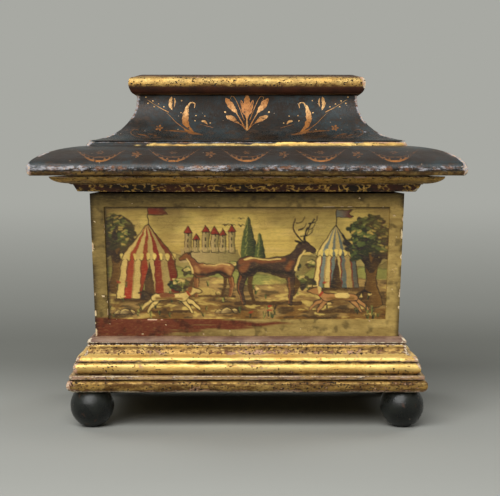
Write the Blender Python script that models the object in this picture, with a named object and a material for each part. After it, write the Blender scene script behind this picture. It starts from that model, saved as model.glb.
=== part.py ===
"""Painted casket: a tapering case on a gilt plinth with ball feet, and a hinged sarcophagus lid.

Metres, +Z up. The front faces -Y, and the origin lies on the table under the middle of the casket.
Moulding profiles are lists of (out, up): out is the distance beyond the case's outer face at its
top edge, and up is the height above the seat of that moulding.
"""

import math

import bmesh
import bpy
from mathutils import Matrix, Vector

MM = 0.001

# Glue lines and running fits
GAP = 0.3 * MM

# Case: four boards that lean in towards the foot, lapped at the corners
CASE_WIDTH = 221.4 * MM
CASE_DEPTH = 157.4 * MM
CASE_TAPER = 3.5 * MM
WALL = 10.0 * MM
WALL_HEIGHT = 105.8 * MM
CORNER_LAP = 5.0 * MM

# Sunk picture field on the outside of every wall
FIELD_BORDER = 9.3 * MM
FIELD_BOTTOM_BORDER = 11.2 * MM
FIELD_DEPTH = 1.2 * MM
FIELD_REVEAL = 0.8 * MM

# Floor of the case, on a ledge that the plinth forms inside the walls
FLOOR_THICKNESS = 8.0 * MM
FLOOR_LEDGE = 8.0 * MM

# Quarter-round bead in the corner between wall and plinth
BEAD_WIDTH = 5.8 * MM
BEAD_HEIGHT = 5.0 * MM

# Plinth moulding, listed from its top fillet down to its bottom fillet
PLINTH_TOP_FILLET = 1.5 * MM
PLINTH_CAVETTO_WIDTH = 2.9 * MM
PLINTH_CAVETTO_HEIGHT = 6.2 * MM
PLINTH_OVOLO_STEP = 1.5 * MM
PLINTH_OVOLO_WIDTH = 3.4 * MM
PLINTH_OVOLO_HEIGHT = 4.6 * MM
PLINTH_QUIRK = 1.0 * MM
PLINTH_TORUS_BULGE = 2.6 * MM
PLINTH_TORUS_HEIGHT = 8.7 * MM
PLINTH_FILLET_STEP = 4.9 * MM
PLINTH_FILLET_HEIGHT = 3.3 * MM

# Base board with a rounded edge
BASE_STEP = 1.7 * MM
BASE_THICKNESS = 8.8 * MM
BASE_LOWER_ROUND = 5.0 * MM
BASE_UPPER_ROUND = 2.4 * MM

# Ball feet, turned in one piece with their tenons
FOOT_DIAMETER = 31.4 * MM
FOOT_HEIGHT = 25.7 * MM
FOOT_WORN_FLAT = 8.0 * MM
FOOT_TENON_DIAMETER = 11.0 * MM
FOOT_TENON_LENGTH = 7.0 * MM
FOOT_INSET = 16.8 * MM

# Nails that hold the base board up against the plinth
NAIL_SHANK = 2.0 * MM
NAIL_HEAD = 5.0 * MM
NAIL_HEAD_HEIGHT = 1.0 * MM
NAIL_BITE = 12.0 * MM
NAIL_SPACING = 150.0 * MM

# Shadow line between the case and the closed lid
LID_GAP = 1.2 * MM

# Lid soffit: a sloping punched band below a gilt ovolo
SOFFIT_BAND_OUT = 7.9 * MM
SOFFIT_BAND_SLOPE = 3.0 * MM
SOFFIT_BAND_HEIGHT = 5.1 * MM
SOFFIT_FILLET_WIDTH = 1.2 * MM
SOFFIT_FILLET_HEIGHT = 0.6 * MM
SOFFIT_OVOLO_WIDTH = 13.7 * MM
SOFFIT_OVOLO_HEIGHT = 5.4 * MM

# Lid cornice: a broad thumb moulding with a sloping fillet on its inner edge
CORNICE_OUT = 39.3 * MM
CORNICE_NOSE_WIDTH = 2.6 * MM
CORNICE_NOSE_HEIGHT = 4.7 * MM
CORNICE_THUMB_WIDTH = 36.9 * MM
CORNICE_THUMB_RUN = 9.0 * MM
CORNICE_THUMB_HEIGHT = 16.4 * MM
CORNICE_FILLET_SLOPE = 1.6 * MM
CORNICE_FILLET_HEIGHT = 2.7 * MM

# Lid cove: an elliptical hollow that flares a little under the top board
COVE_SETBACK = 0.4 * MM
COVE_FILLET_HEIGHT = 0.6 * MM
COVE_REACH = 31.4 * MM
COVE_RUN_OUT = 3.1 * MM
COVE_RISE = 30.9 * MM
COVE_FLARE_HEIGHT = 2.1 * MM
COVE_WALL = 6.0 * MM
COVE_TOP_WIDTH = 14.0 * MM

# Lid top board: its edge is undercut below a rounded nose, with a gentle fall above it
TOP_OVERHANG = 5.8 * MM
TOP_UNDERCUT_WIDTH = 5.0 * MM
TOP_UNDERCUT_HEIGHT = 8.0 * MM
TOP_NOSE_WIDTH = 2.4 * MM
TOP_NOSE_HEIGHT = 4.8 * MM
TOP_FALL_WIDTH = 8.6 * MM
TOP_FALL_HEIGHT = 2.2 * MM

# Butt hinges with rolled knuckles, let into the back wall and the lid
HINGE_LENGTH = 26.0 * MM
HINGE_SPACING = 122.0 * MM
HINGE_LEAF_WIDTH = 10.0 * MM
HINGE_SHEET = 0.9 * MM
HINGE_PIN_DIAMETER = 2.0 * MM
HINGE_PIN_DOME = 0.5 * MM
HINGE_MIDDLE_KNUCKLE = 10.0 * MM
HINGE_ROLL_DEGREES = 300.0

# Countersunk hinge screws
SCREW_HEAD = 3.4 * MM
SCREW_HEAD_RIM = 0.2 * MM
SCREW_SHANK = 1.8 * MM
SCREW_LENGTH = 8.0 * MM
SCREW_TIP = 1.5 * MM
SCREW_SPACING = 15.0 * MM

# Facets, and the angle from which an edge between them is an arris
ARRIS_DEGREES = 30.0
WELD = GAP / 100
ARC_STEPS = 7
LONG_ARC_STEPS = 14
DOME_STEPS = 3
ROLL_STEPS = 15
FOOT_SIDES = 28
SMALL_SIDES = 14

# How far out each layer stands, as it follows from the sizes above
WALL_FOOT_OUT = -CASE_TAPER
WALL_FOOT_INSIDE = WALL_FOOT_OUT - WALL
PLINTH_INSIDE = WALL_FOOT_INSIDE - FLOOR_LEDGE
PLINTH_TOP_OUT = WALL_FOOT_OUT + GAP + BEAD_WIDTH
PLINTH_OVOLO_OUT = PLINTH_TOP_OUT + PLINTH_CAVETTO_WIDTH + PLINTH_OVOLO_STEP
PLINTH_TORUS_OUT = PLINTH_OVOLO_OUT + PLINTH_OVOLO_WIDTH - PLINTH_QUIRK
PLINTH_FOOT_OUT = PLINTH_TORUS_OUT + PLINTH_FILLET_STEP
BASE_OUT = PLINTH_FOOT_OUT + BASE_STEP
SOFFIT_OVOLO_OUT = SOFFIT_BAND_OUT + SOFFIT_BAND_SLOPE + SOFFIT_FILLET_WIDTH
CORNICE_THUMB_OUT = CORNICE_OUT - CORNICE_THUMB_WIDTH
CORNICE_FILLET_OUT = CORNICE_THUMB_OUT - CORNICE_FILLET_SLOPE
COVE_OUT = CORNICE_FILLET_OUT - COVE_SETBACK

# Heights, as they follow from the stack
BASE_BOTTOM = FOOT_HEIGHT
PLINTH_SEAT = BASE_BOTTOM + BASE_THICKNESS + GAP
PLINTH_TORUS_TOP = PLINTH_FILLET_HEIGHT + PLINTH_TORUS_HEIGHT
PLINTH_OVOLO_TOP = PLINTH_TORUS_TOP + PLINTH_OVOLO_HEIGHT
PLINTH_CAVETTO_TOP = PLINTH_OVOLO_TOP + PLINTH_CAVETTO_HEIGHT
PLINTH_HEIGHT = PLINTH_CAVETTO_TOP + PLINTH_TOP_FILLET
WALL_SEAT = PLINTH_SEAT + PLINTH_HEIGHT + GAP
WALL_TOP = WALL_SEAT + WALL_HEIGHT
SOFFIT_SEAT = WALL_TOP + LID_GAP
SOFFIT_HEIGHT = SOFFIT_BAND_HEIGHT + SOFFIT_FILLET_HEIGHT + SOFFIT_OVOLO_HEIGHT
CORNICE_SEAT = SOFFIT_SEAT + SOFFIT_HEIGHT + GAP
CORNICE_HEIGHT = CORNICE_NOSE_HEIGHT + CORNICE_THUMB_HEIGHT + CORNICE_FILLET_HEIGHT
COVE_SEAT = CORNICE_SEAT + CORNICE_HEIGHT + GAP
COVE_HEIGHT = COVE_FILLET_HEIGHT + COVE_RISE + COVE_FLARE_HEIGHT
TOP_SEAT = COVE_SEAT + COVE_HEIGHT + GAP

# Hinge sizes and axis, as they follow from the case
KNUCKLE_BORE = HINGE_PIN_DIAMETER / 2 + GAP
KNUCKLE_RADIUS = KNUCKLE_BORE + HINGE_SHEET
LEAF_CLEAR = KNUCKLE_RADIUS + GAP
HINGE_AXIS = Vector((0, CASE_DEPTH / 2 + LEAF_CLEAR, WALL_TOP + LID_GAP / 2))

# Sides of the casket, a quarter turn apart
SIDES = ("front", "right", "back", "left")
LONG_SIDES = ("front", "back")


# Finishes

def finish(name, colour, roughness, metallic=0.0):
    material = bpy.data.materials.new(name)
    material.diffuse_color = (*colour, 1)
    material.use_nodes = True
    shader = material.node_tree.nodes["Principled BSDF"]
    shader.inputs["Base Color"].default_value = (*colour, 1)
    shader.inputs["Roughness"].default_value = roughness
    shader.inputs["Metallic"].default_value = metallic
    return material


def make_finishes():
    return {
        "gilding": finish("gilding", (0.55, 0.36, 0.10), 0.42, 0.6),
        "dark_paint": finish("dark_paint", (0.030, 0.028, 0.024), 0.42),
        "picture_paint": finish("picture_paint", (0.33, 0.24, 0.09), 0.48),
        "violet_paint": finish("violet_paint", (0.16, 0.12, 0.12), 0.50),
        "ebonised": finish("ebonised", (0.018, 0.018, 0.018), 0.38),
        "bare_wood": finish("bare_wood", (0.30, 0.19, 0.10), 0.65),
        "brass": finish("brass", (0.56, 0.40, 0.16), 0.38, 1.0),
        "iron": finish("iron", (0.07, 0.06, 0.055), 0.60, 0.9),
    }


# Placing objects

def new_empty(name, location):
    empty = bpy.data.objects.new(name, None)
    empty.location = location
    bpy.context.scene.collection.objects.link(empty)
    return empty


def new_object(name, mesh, parent, location, quarters=0):
    """An object at a world location, turned about Z by quarter turns, hung on a parent empty."""
    obj = bpy.data.objects.new(name, mesh)
    bpy.context.scene.collection.objects.link(obj)
    obj.parent = parent
    obj.location = Vector(location) - parent.location
    obj.rotation_euler.z = quarters * math.pi / 2
    return obj


def new_cutter(name, mesh, parent, location):
    cutter = new_object(name, mesh, parent, location)
    cutter.hide_render = True
    cutter.display_type = "WIRE"
    return cutter


def cut(target, cutter, solver="EXACT"):
    modifier = target.modifiers.new(cutter.name, "BOOLEAN")
    modifier.operation = "DIFFERENCE"
    modifier.solver = solver
    modifier.object = cutter


# Shape makers

def mesh_from(bm, name, material=None):
    """A mesh with its faces pointing out, smooth across curves and sharp at arrises."""
    bmesh.ops.recalc_face_normals(bm, faces=bm.faces)
    mesh = bpy.data.meshes.new(name)
    bm.to_mesh(mesh)
    bm.free()
    mesh.shade_smooth()
    mesh.set_sharp_from_angle(angle=math.radians(ARRIS_DEGREES))
    if material:
        mesh.materials.append(material)
    return mesh


def ellipse(centre, radii, start, stop, steps=ARC_STEPS):
    """Points on an ellipse from one angle to another, in degrees from the outward direction."""
    points = []
    for step in range(steps + 1):
        angle = math.radians(start + (stop - start) * step / steps)
        out = centre[0] + radii[0] * math.cos(angle)
        up = centre[1] + radii[1] * math.sin(angle)
        points.append((out, up))
    return points


def box_mesh(name, low, high, material=None):
    bm = bmesh.new()
    bmesh.ops.create_cube(bm, size=1)
    for vert in bm.verts:
        for axis in range(3):
            vert.co[axis] = high[axis] if vert.co[axis] > 0 else low[axis]
    return mesh_from(bm, name, material)


def turned_mesh(name, profile, sides, material=None):
    """A solid of revolution about Z from (radius, up) points that start and end on the axis."""
    bm = bmesh.new()
    verts = [bm.verts.new((radius, 0, up)) for radius, up in profile]
    for first, second in zip(verts, verts[1:]):
        bm.edges.new((first, second))
    bmesh.ops.spin(
        bm,
        geom=bm.verts[:] + bm.edges[:],
        cent=(0, 0, 0),
        axis=(0, 0, 1),
        angle=math.tau,
        steps=sides,
        use_merge=True,
    )
    bmesh.ops.remove_doubles(bm, verts=bm.verts, dist=WELD)
    return mesh_from(bm, name, material)


def mitred_mesh(name, profile, half_along, half_across, material):
    """One length of moulding along X that faces -Y, with both ends cut to the mitre."""
    slip = GAP / math.sqrt(2)
    bm = bmesh.new()
    ends = []
    for side in (-1, 1):
        ends.append([
            bm.verts.new((side * (half_along + out - slip), -half_across - out, up))
            for out, up in profile
        ])
    left, right = ends
    bm.faces.new(left)
    bm.faces.new(right)
    for index in range(len(profile)):
        bm.faces.new((left[index - 1], left[index], right[index], right[index - 1]))
    return mesh_from(bm, name, material)


def moulding_frame(prefix, profile, seat, material, parent):
    """Four mitred lengths of one moulding round the casket, by side."""
    half_x = CASE_WIDTH / 2
    half_y = CASE_DEPTH / 2
    long_mesh = mitred_mesh(prefix + "_long", profile, half_x, half_y, material)
    short_mesh = mitred_mesh(prefix + "_short", profile, half_y, half_x, material)
    frame = {}
    for quarters, side in enumerate(SIDES):
        mesh = long_mesh if side in LONG_SIDES else short_mesh
        frame[side] = new_object(f"{prefix}_{side}", mesh, parent, (0, 0, seat), quarters)
    return frame


def moulded_slab_mesh(name, edge, material):
    """A rectangular board whose four edges follow (out, up) points from its underside to its top."""
    bm = bmesh.new()
    rings = []
    for out, up in edge:
        x = CASE_WIDTH / 2 + out
        y = CASE_DEPTH / 2 + out
        rings.append([bm.verts.new((*corner, up)) for corner in ((-x, -y), (x, -y), (x, y), (-x, y))])
    bm.faces.new(rings[0])
    bm.faces.new(rings[-1])
    for lower, upper in zip(rings, rings[1:]):
        for index in range(4):
            bm.faces.new((lower[index - 1], lower[index], upper[index], upper[index - 1]))
    return mesh_from(bm, name, material)


# Base board, feet and plinth

def base_edge():
    low = BASE_LOWER_ROUND
    high = BASE_UPPER_ROUND
    bottom = ellipse((BASE_OUT - low, low), (low, low), -90, 0)
    top = ellipse((BASE_OUT - high, BASE_THICKNESS - high), (high, high), 0, 90)
    return bottom + top


def foot_profile():
    """A ball with a worn flat below, cut off under the base board, and its tenon."""
    radius = FOOT_DIAMETER / 2
    flat = FOOT_WORN_FLAT / 2
    middle = math.sqrt(radius**2 - flat**2)
    shoulder = FOOT_HEIGHT - GAP
    start = math.degrees(math.atan2(-middle, flat))
    stop = math.degrees(math.asin((shoulder - middle) / radius))
    ball = ellipse((0, middle), (radius, radius), start, stop, LONG_ARC_STEPS)
    tenon = FOOT_TENON_DIAMETER / 2
    top = FOOT_HEIGHT + FOOT_TENON_LENGTH
    return [(0, 0), *ball, (tenon, shoulder), (tenon, top), (0, top)]


def socket_profile():
    """A hole for a foot's tenon, from well below the base board's underside."""
    radius = FOOT_TENON_DIAMETER / 2 + GAP
    low = -BASE_THICKNESS
    high = FOOT_TENON_LENGTH + GAP
    return [(0, low), (radius, low), (radius, high), (0, high)]


def make_feet(base, material, parent):
    """Turned feet under the corners, with their sockets.

    The base board's many holes lie in one flat face, which the manifold solver keeps closed.
    """
    foot = turned_mesh("foot", foot_profile(), FOOT_SIDES, material)
    socket = turned_mesh("foot_socket", socket_profile(), FOOT_SIDES)
    reach_x = CASE_WIDTH / 2 + BASE_OUT - FOOT_INSET
    reach_y = CASE_DEPTH / 2 + BASE_OUT - FOOT_INSET
    for depth, y in (("front", -reach_y), ("back", reach_y)):
        for hand, x in (("left", -reach_x), ("right", reach_x)):
            new_object(f"foot_{depth}_{hand}", foot, parent, (x, y, 0))
            cutter = new_cutter(f"socket_{depth}_{hand}", socket, parent, (x, y, BASE_BOTTOM))
            cut(base, cutter, "MANIFOLD")


def plinth_profile():
    points = [(PLINTH_INSIDE, 0), (PLINTH_INSIDE, PLINTH_HEIGHT), (PLINTH_TOP_OUT, PLINTH_HEIGHT)]
    cavetto = (PLINTH_CAVETTO_WIDTH, PLINTH_CAVETTO_HEIGHT)
    points += ellipse((PLINTH_TOP_OUT + PLINTH_CAVETTO_WIDTH, PLINTH_CAVETTO_TOP), cavetto, 180, 270)
    ovolo = (PLINTH_OVOLO_WIDTH, PLINTH_OVOLO_HEIGHT)
    points += ellipse((PLINTH_OVOLO_OUT, PLINTH_TORUS_TOP), ovolo, 90, 0)
    torus = (PLINTH_TORUS_BULGE, PLINTH_TORUS_HEIGHT / 2)
    points += ellipse((PLINTH_TORUS_OUT, PLINTH_TORUS_TOP - torus[1]), torus, 90, -90)
    points += [(PLINTH_FOOT_OUT, PLINTH_FILLET_HEIGHT), (PLINTH_FOOT_OUT, 0)]
    return points


def bead_profile():
    """A quarter round that leans with the wall it is glued to."""
    foot = WALL_FOOT_OUT + GAP
    lean = CASE_TAPER / WALL_HEIGHT * BEAD_HEIGHT
    quarter = ellipse((foot, 0), (BEAD_WIDTH, BEAD_HEIGHT), 0, 90)
    quarter[-1] = (foot + lean, BEAD_HEIGHT)
    return [(foot, 0), *quarter]


def nail_profile(grow=0.0):
    """A nail that points up, with a domed head under the base board and a tapered point."""
    shank = NAIL_SHANK / 2 + grow
    tip = BASE_THICKNESS + NAIL_BITE + grow
    dome = ellipse((0, -GAP), (NAIL_HEAD / 2, NAIL_HEAD_HEIGHT), -90, 0, DOME_STEPS)
    return [*dome, (shank, -GAP), (shank, tip - NAIL_SHANK), (0, tip)]


def make_nails(base, plinth, material, parent):
    """Two nails into each long side of the plinth and one into each short side."""
    nail = turned_mesh("nail", nail_profile(), SMALL_SIDES, material)
    hole = turned_mesh("nail_hole", nail_profile(GAP), SMALL_SIDES)
    reach = NAIL_SPACING / 2
    line_x = CASE_WIDTH / 2 + WALL_FOOT_INSIDE
    line_y = CASE_DEPTH / 2 + WALL_FOOT_INSIDE
    places = (
        ("front", "front_left", -reach, -line_y),
        ("front", "front_right", reach, -line_y),
        ("back", "back_left", -reach, line_y),
        ("back", "back_right", reach, line_y),
        ("left", "left", -line_x, 0),
        ("right", "right", line_x, 0),
    )
    for side, place, x, y in places:
        new_object(f"base_nail_{place}", nail, parent, (x, y, BASE_BOTTOM))
        cutter = new_cutter(f"nail_hole_{place}", hole, parent, (x, y, BASE_BOTTOM))
        cut(base, cutter, "MANIFOLD")
        cut(plinth[side], cutter)


# Case walls and floor

def sink_field(bm, face, half_along, half_across, end_border):
    """Sinks a picture field with a sloping reveal into the outer face of a wall."""
    bmesh.ops.inset_region(bm, faces=[face], thickness=FIELD_REVEAL)
    for vert in face.verts:
        if vert.co.z > WALL_HEIGHT / 2:
            vert.co.z = WALL_HEIGHT - FIELD_BORDER
        else:
            vert.co.z = BEAD_HEIGHT + FIELD_BOTTOM_BORDER
        lean = CASE_TAPER * (1 - vert.co.z / WALL_HEIGHT)
        vert.co.x = math.copysign(half_along - lean - end_border, vert.co.x)
        vert.co.y = lean - half_across
    bmesh.ops.inset_region(bm, faces=[face], thickness=FIELD_REVEAL, depth=-FIELD_DEPTH)


def wall_mesh(name, half_along, half_across, lap, end_border, material):
    """A board along X that faces -Y and leans in at its foot.

    With a lap, its ends reach over the ends of the boards beside it. Without one, they are square.
    """
    if lap:
        shoulder = half_along - WALL - GAP
        right_end = [(half_along, 0), (half_along, lap), (shoulder, lap), (shoulder, WALL)]
    else:
        right_end = [(half_along, 0), (half_along, WALL)]
    left_end = [(-along, inward) for along, inward in reversed(right_end)]
    plan = right_end + left_end
    bm = bmesh.new()
    levels = []
    for up, lean in ((0, CASE_TAPER), (WALL_HEIGHT, 0)):
        levels.append([
            bm.verts.new((along - math.copysign(lean, along), inward + lean - half_across, up))
            for along, inward in plan
        ])
    foot, top = levels
    bm.faces.new(foot)
    bm.faces.new(top)
    sides = [
        bm.faces.new((foot[index - 1], foot[index], top[index], top[index - 1]))
        for index in range(len(plan))
    ]
    bmesh.ops.recalc_face_normals(bm, faces=bm.faces)
    sink_field(bm, sides[0], half_along, half_across, end_border)
    return mesh_from(bm, name, material)


def make_walls(material, parent):
    """Front and back boards lap over the ends of the left and right boards."""
    half_x = CASE_WIDTH / 2
    half_y = CASE_DEPTH / 2
    covered = CORNER_LAP + GAP
    long_mesh = wall_mesh("wall_long", half_x, half_y, CORNER_LAP, FIELD_BORDER, material)
    short_mesh = wall_mesh("wall_short", half_y - covered, half_x, 0, FIELD_BORDER - covered, material)
    walls = {}
    for quarters, side in enumerate(SIDES):
        mesh = long_mesh if side in LONG_SIDES else short_mesh
        walls[side] = new_object(f"{side}_board", mesh, parent, (0, 0, WALL_SEAT), quarters)
    return walls


def make_floor(material, parent):
    x = CASE_WIDTH / 2 + WALL_FOOT_INSIDE - GAP
    y = CASE_DEPTH / 2 + WALL_FOOT_INSIDE - GAP
    mesh = box_mesh("floor", (-x, -y, 0), (x, y, FLOOR_THICKNESS), material)
    new_object("floor_board", mesh, parent, (0, 0, WALL_SEAT))


# Lid

def soffit_profile():
    band_top = (SOFFIT_BAND_OUT + SOFFIT_BAND_SLOPE, SOFFIT_BAND_HEIGHT)
    points = [(-WALL, SOFFIT_HEIGHT), (-WALL, 0), (SOFFIT_BAND_OUT, 0), band_top]
    points += [(SOFFIT_OVOLO_OUT, SOFFIT_BAND_HEIGHT)]
    ovolo = (SOFFIT_OVOLO_WIDTH, SOFFIT_OVOLO_HEIGHT)
    points += ellipse((SOFFIT_OVOLO_OUT, SOFFIT_HEIGHT), ovolo, -90, 0)
    return points


def cornice_profile():
    """A small round under the nose, the thumb's ellipse over it, and the fillet that cuts it off."""
    nose = (CORNICE_NOSE_WIDTH, CORNICE_NOSE_HEIGHT)
    reach = CORNICE_THUMB_WIDTH + CORNICE_THUMB_RUN
    crown = math.acos(CORNICE_THUMB_RUN / reach)
    thumb = (reach, CORNICE_THUMB_HEIGHT / math.sin(crown))
    points = [(-WALL, CORNICE_HEIGHT), (-WALL, 0)]
    points += ellipse((CORNICE_OUT - CORNICE_NOSE_WIDTH, CORNICE_NOSE_HEIGHT), nose, -90, 0)
    middle = (CORNICE_OUT - reach, CORNICE_NOSE_HEIGHT)
    points += ellipse(middle, thumb, 0, math.degrees(crown), LONG_ARC_STEPS)[1:]
    points += [(CORNICE_FILLET_OUT, CORNICE_HEIGHT)]
    return points


def cove_hollow():
    """The hollow outer face, from its foot past its neck to the flare under the top board."""
    middle = (COVE_OUT + COVE_RUN_OUT, COVE_FILLET_HEIGHT + COVE_RISE)
    radii = (COVE_RUN_OUT + COVE_REACH, COVE_RISE)
    foot = math.degrees(math.asin(COVE_RUN_OUT / radii[0]))
    flare = math.degrees(math.asin(COVE_FLARE_HEIGHT / COVE_RISE))
    return ellipse(middle, radii, 270 - foot, 180 - flare, LONG_ARC_STEPS)


def cove_profile():
    """The hollow outside, and inside a splayed face that leaves COVE_WALL at the thinnest place."""
    hollow = cove_hollow()
    splay = Vector((-COVE_REACH, COVE_RISE)).normalized()
    inward = Vector((-splay.y, splay.x))
    deepest = max((Vector(point) for point in hollow), key=inward.dot)
    thinnest = deepest + inward * COVE_WALL
    inner_foot = thinnest.x - thinnest.y * splay.x / splay.y
    inner_top = hollow[-1][0] - COVE_TOP_WIDTH
    knee = thinnest.y + (inner_top - thinnest.x) * splay.y / splay.x
    return [(inner_foot, 0), (COVE_OUT, 0), *hollow, (inner_top, COVE_HEIGHT), (inner_top, knee)]


def top_edge():
    out = cove_hollow()[-1][0] + TOP_OVERHANG
    undercut = (TOP_UNDERCUT_WIDTH, TOP_UNDERCUT_HEIGHT)
    nose = (TOP_NOSE_WIDTH, TOP_NOSE_HEIGHT)
    points = ellipse((out - TOP_UNDERCUT_WIDTH, TOP_UNDERCUT_HEIGHT), undercut, -90, 0)
    points += ellipse((out - TOP_NOSE_WIDTH, TOP_UNDERCUT_HEIGHT), nose, 0, 90)[1:]
    points += [(points[-1][0] - TOP_FALL_WIDTH, points[-1][1] + TOP_FALL_HEIGHT)]
    return points


# Hinges

def knuckle_spans(middle):
    """X ranges of a leaf's knuckles: the middle one alone, or the two outer ones."""
    half = HINGE_LENGTH / 2
    inner = HINGE_MIDDLE_KNUCKLE / 2
    if middle:
        return [(-inner, inner)]
    return [(-half, -inner - GAP), (inner + GAP, half)]


def roll_knuckle(bm, edge_face):
    """Carries the leaf's back edge on to below the pin, then rolls it round the pin."""
    lead = bmesh.ops.extrude_discrete_faces(bm, faces=[edge_face])["faces"][0]
    bmesh.ops.translate(bm, verts=lead.verts[:], vec=(0, LEAF_CLEAR, 0))
    turn = Matrix.Rotation(math.radians(HINGE_ROLL_DEGREES / ROLL_STEPS), 3, "X")
    for _ in range(ROLL_STEPS):
        lead = bmesh.ops.extrude_discrete_faces(bm, faces=[lead])["faces"][0]
        bmesh.ops.rotate(bm, verts=lead.verts[:], cent=(0, 0, 0), matrix=turn)


def leaf_mesh(name, middle, material):
    """A leaf that runs towards -Y below a pin on the X axis, with its knuckles rolled round the pin."""
    spans = knuckle_spans(middle)
    half = HINGE_LENGTH / 2
    stations = sorted({-half, half, *(x for span in spans for x in span)})
    front = -HINGE_LEAF_WIDTH
    back = -LEAF_CLEAR
    low = -KNUCKLE_RADIUS
    high = -KNUCKLE_BORE
    bm = bmesh.new()
    front_low, back_low, back_high, front_high = (
        [bm.verts.new((x, y, z)) for x in stations]
        for y, z in ((front, low), (back, low), (back, high), (front, high))
    )
    edge_faces = []
    for index, span in enumerate(zip(stations, stations[1:])):
        for first, second in ((front_high, front_low), (front_low, back_low), (back_high, front_high)):
            bm.faces.new((first[index], first[index + 1], second[index + 1], second[index]))
        corners = (back_low[index], back_low[index + 1], back_high[index + 1], back_high[index])
        edge_face = bm.faces.new(corners)
        if span in spans:
            edge_faces.append(edge_face)
    for end in (0, -1):
        bm.faces.new((front_low[end], back_low[end], back_high[end], front_high[end]))
    bmesh.ops.recalc_face_normals(bm, faces=bm.faces)
    for edge_face in edge_faces:
        roll_knuckle(bm, edge_face)
    return mesh_from(bm, name, material)


def pin_profile():
    radius = HINGE_PIN_DIAMETER / 2
    shoulder = HINGE_LENGTH / 2 - HINGE_PIN_DOME
    low = ellipse((0, -shoulder), (radius, HINGE_PIN_DOME), -90, 0, DOME_STEPS)
    high = ellipse((0, shoulder), (radius, HINGE_PIN_DOME), 0, 90, DOME_STEPS)
    return low + high


def screw_profile(grow=0.0):
    """A countersunk screw that points down, with its head flush in the face of a leaf."""
    head = SCREW_HEAD / 2 + grow
    shank = SCREW_SHANK / 2 + grow
    tip = -SCREW_LENGTH - grow
    cone = [(head, -SCREW_HEAD_RIM), (shank, -HINGE_SHEET)]
    return [(0, grow), (head, grow), *cone, (shank, tip + SCREW_TIP), (0, tip)]


def pocket_mesh():
    """Room for one hinge in the wood round it."""
    x = HINGE_LENGTH / 2 + GAP
    front = -HINGE_LEAF_WIDTH - GAP
    return box_mesh("hinge_pocket", (-x, front, -LEAF_CLEAR), (x, LEAF_CLEAR, LEAF_CLEAR))


def turn_over(mesh):
    """Mirrors a mesh top to bottom."""
    mesh.transform(Matrix.Scale(-1, 4, (0, 0, 1)))
    mesh.flip_normals()


def make_hinge_half(body, parent, wood, material):
    """The leaves and screws on one body, at both hinges, with their pockets and holes in the wood.

    The lid's half is made like the case's and turned over.
    """
    on_lid = body == "lid"
    leaf = leaf_mesh(f"{body}_leaf", on_lid, material)
    screw = turned_mesh(f"{body}_screw", screw_profile(), SMALL_SIDES, material)
    hole = turned_mesh(f"{body}_screw_hole", screw_profile(GAP), SMALL_SIDES)
    if on_lid:
        for mesh in (leaf, screw, hole):
            turn_over(mesh)
    pocket = pocket_mesh()
    screw_y = -(HINGE_LEAF_WIDTH + LEAF_CLEAR) / 2
    screw_z = KNUCKLE_BORE if on_lid else -KNUCKLE_BORE
    for hand, side in (("left", -1), ("right", 1)):
        at = HINGE_AXIS + Vector((side * HINGE_SPACING / 2, 0, 0))
        plate = new_object(f"{body}_hinge_leaf_{hand}", leaf, parent, at)
        cut(wood, new_cutter(f"{body}_pocket_{hand}", pocket, parent, at))
        for place, outward in (("outer", side), ("inner", -side)):
            spot = at + Vector((outward * SCREW_SPACING / 2, screw_y, screw_z))
            new_object(f"{body}_screw_{hand}_{place}", screw, parent, spot)
            cutter = new_cutter(f"{body}_screw_hole_{hand}_{place}", hole, parent, spot)
            cut(plate, cutter)
            cut(wood, cutter)


def make_hinges(case_back, lid_back, material, case, lid):
    """Two hinges at the back edge of the case."""
    make_hinge_half("case", case, case_back, material)
    make_hinge_half("lid", lid, lid_back, material)
    pin = turned_mesh("hinge_pin", pin_profile(), SMALL_SIDES, material)
    pin.transform(Matrix.Rotation(math.radians(90), 4, "Y"))
    for hand, side in (("left", -1), ("right", 1)):
        new_object(f"hinge_pin_{hand}", pin, case, HINGE_AXIS + Vector((side * HINGE_SPACING / 2, 0, 0)))


# The two bodies

def make_case(finishes, case):
    slab = moulded_slab_mesh("base", base_edge(), finishes["gilding"])
    base = new_object("base_board", slab, case, (0, 0, BASE_BOTTOM))
    make_feet(base, finishes["ebonised"], case)
    plinth = moulding_frame("plinth", plinth_profile(), PLINTH_SEAT, finishes["gilding"], case)
    make_nails(base, plinth, finishes["iron"], case)
    moulding_frame("bead", bead_profile(), WALL_SEAT, finishes["violet_paint"], case)
    make_floor(finishes["bare_wood"], case)
    return make_walls(finishes["picture_paint"], case)


def make_lid(finishes, lid):
    soffit = moulding_frame("lid_soffit", soffit_profile(), SOFFIT_SEAT, finishes["gilding"], lid)
    moulding_frame("lid_cornice", cornice_profile(), CORNICE_SEAT, finishes["dark_paint"], lid)
    moulding_frame("lid_cove", cove_profile(), COVE_SEAT, finishes["dark_paint"], lid)
    slab = moulded_slab_mesh("top", top_edge(), finishes["gilding"])
    new_object("lid_top", slab, lid, (0, 0, TOP_SEAT))
    return soffit


def main():
    for obj in list(bpy.data.objects):
        bpy.data.objects.remove(obj)
    finishes = make_finishes()
    case = new_empty("case_origin", (0, 0, 0))
    lid = new_empty("lid_hinge_axis", HINGE_AXIS)
    walls = make_case(finishes, case)
    soffit = make_lid(finishes, lid)
    make_hinges(walls["back"], soffit["back"], finishes["brass"], case, lid)


main()
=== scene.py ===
"""Looks of the painted casket: worn gilt mouldings, painted walls and a dark lid with gilt ornament.

Lengths are metres, as in the frame. Zones of mouldings, ornaments and pictures are laid out in millimetres.
"""

import itertools
import math
from functools import partial

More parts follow.
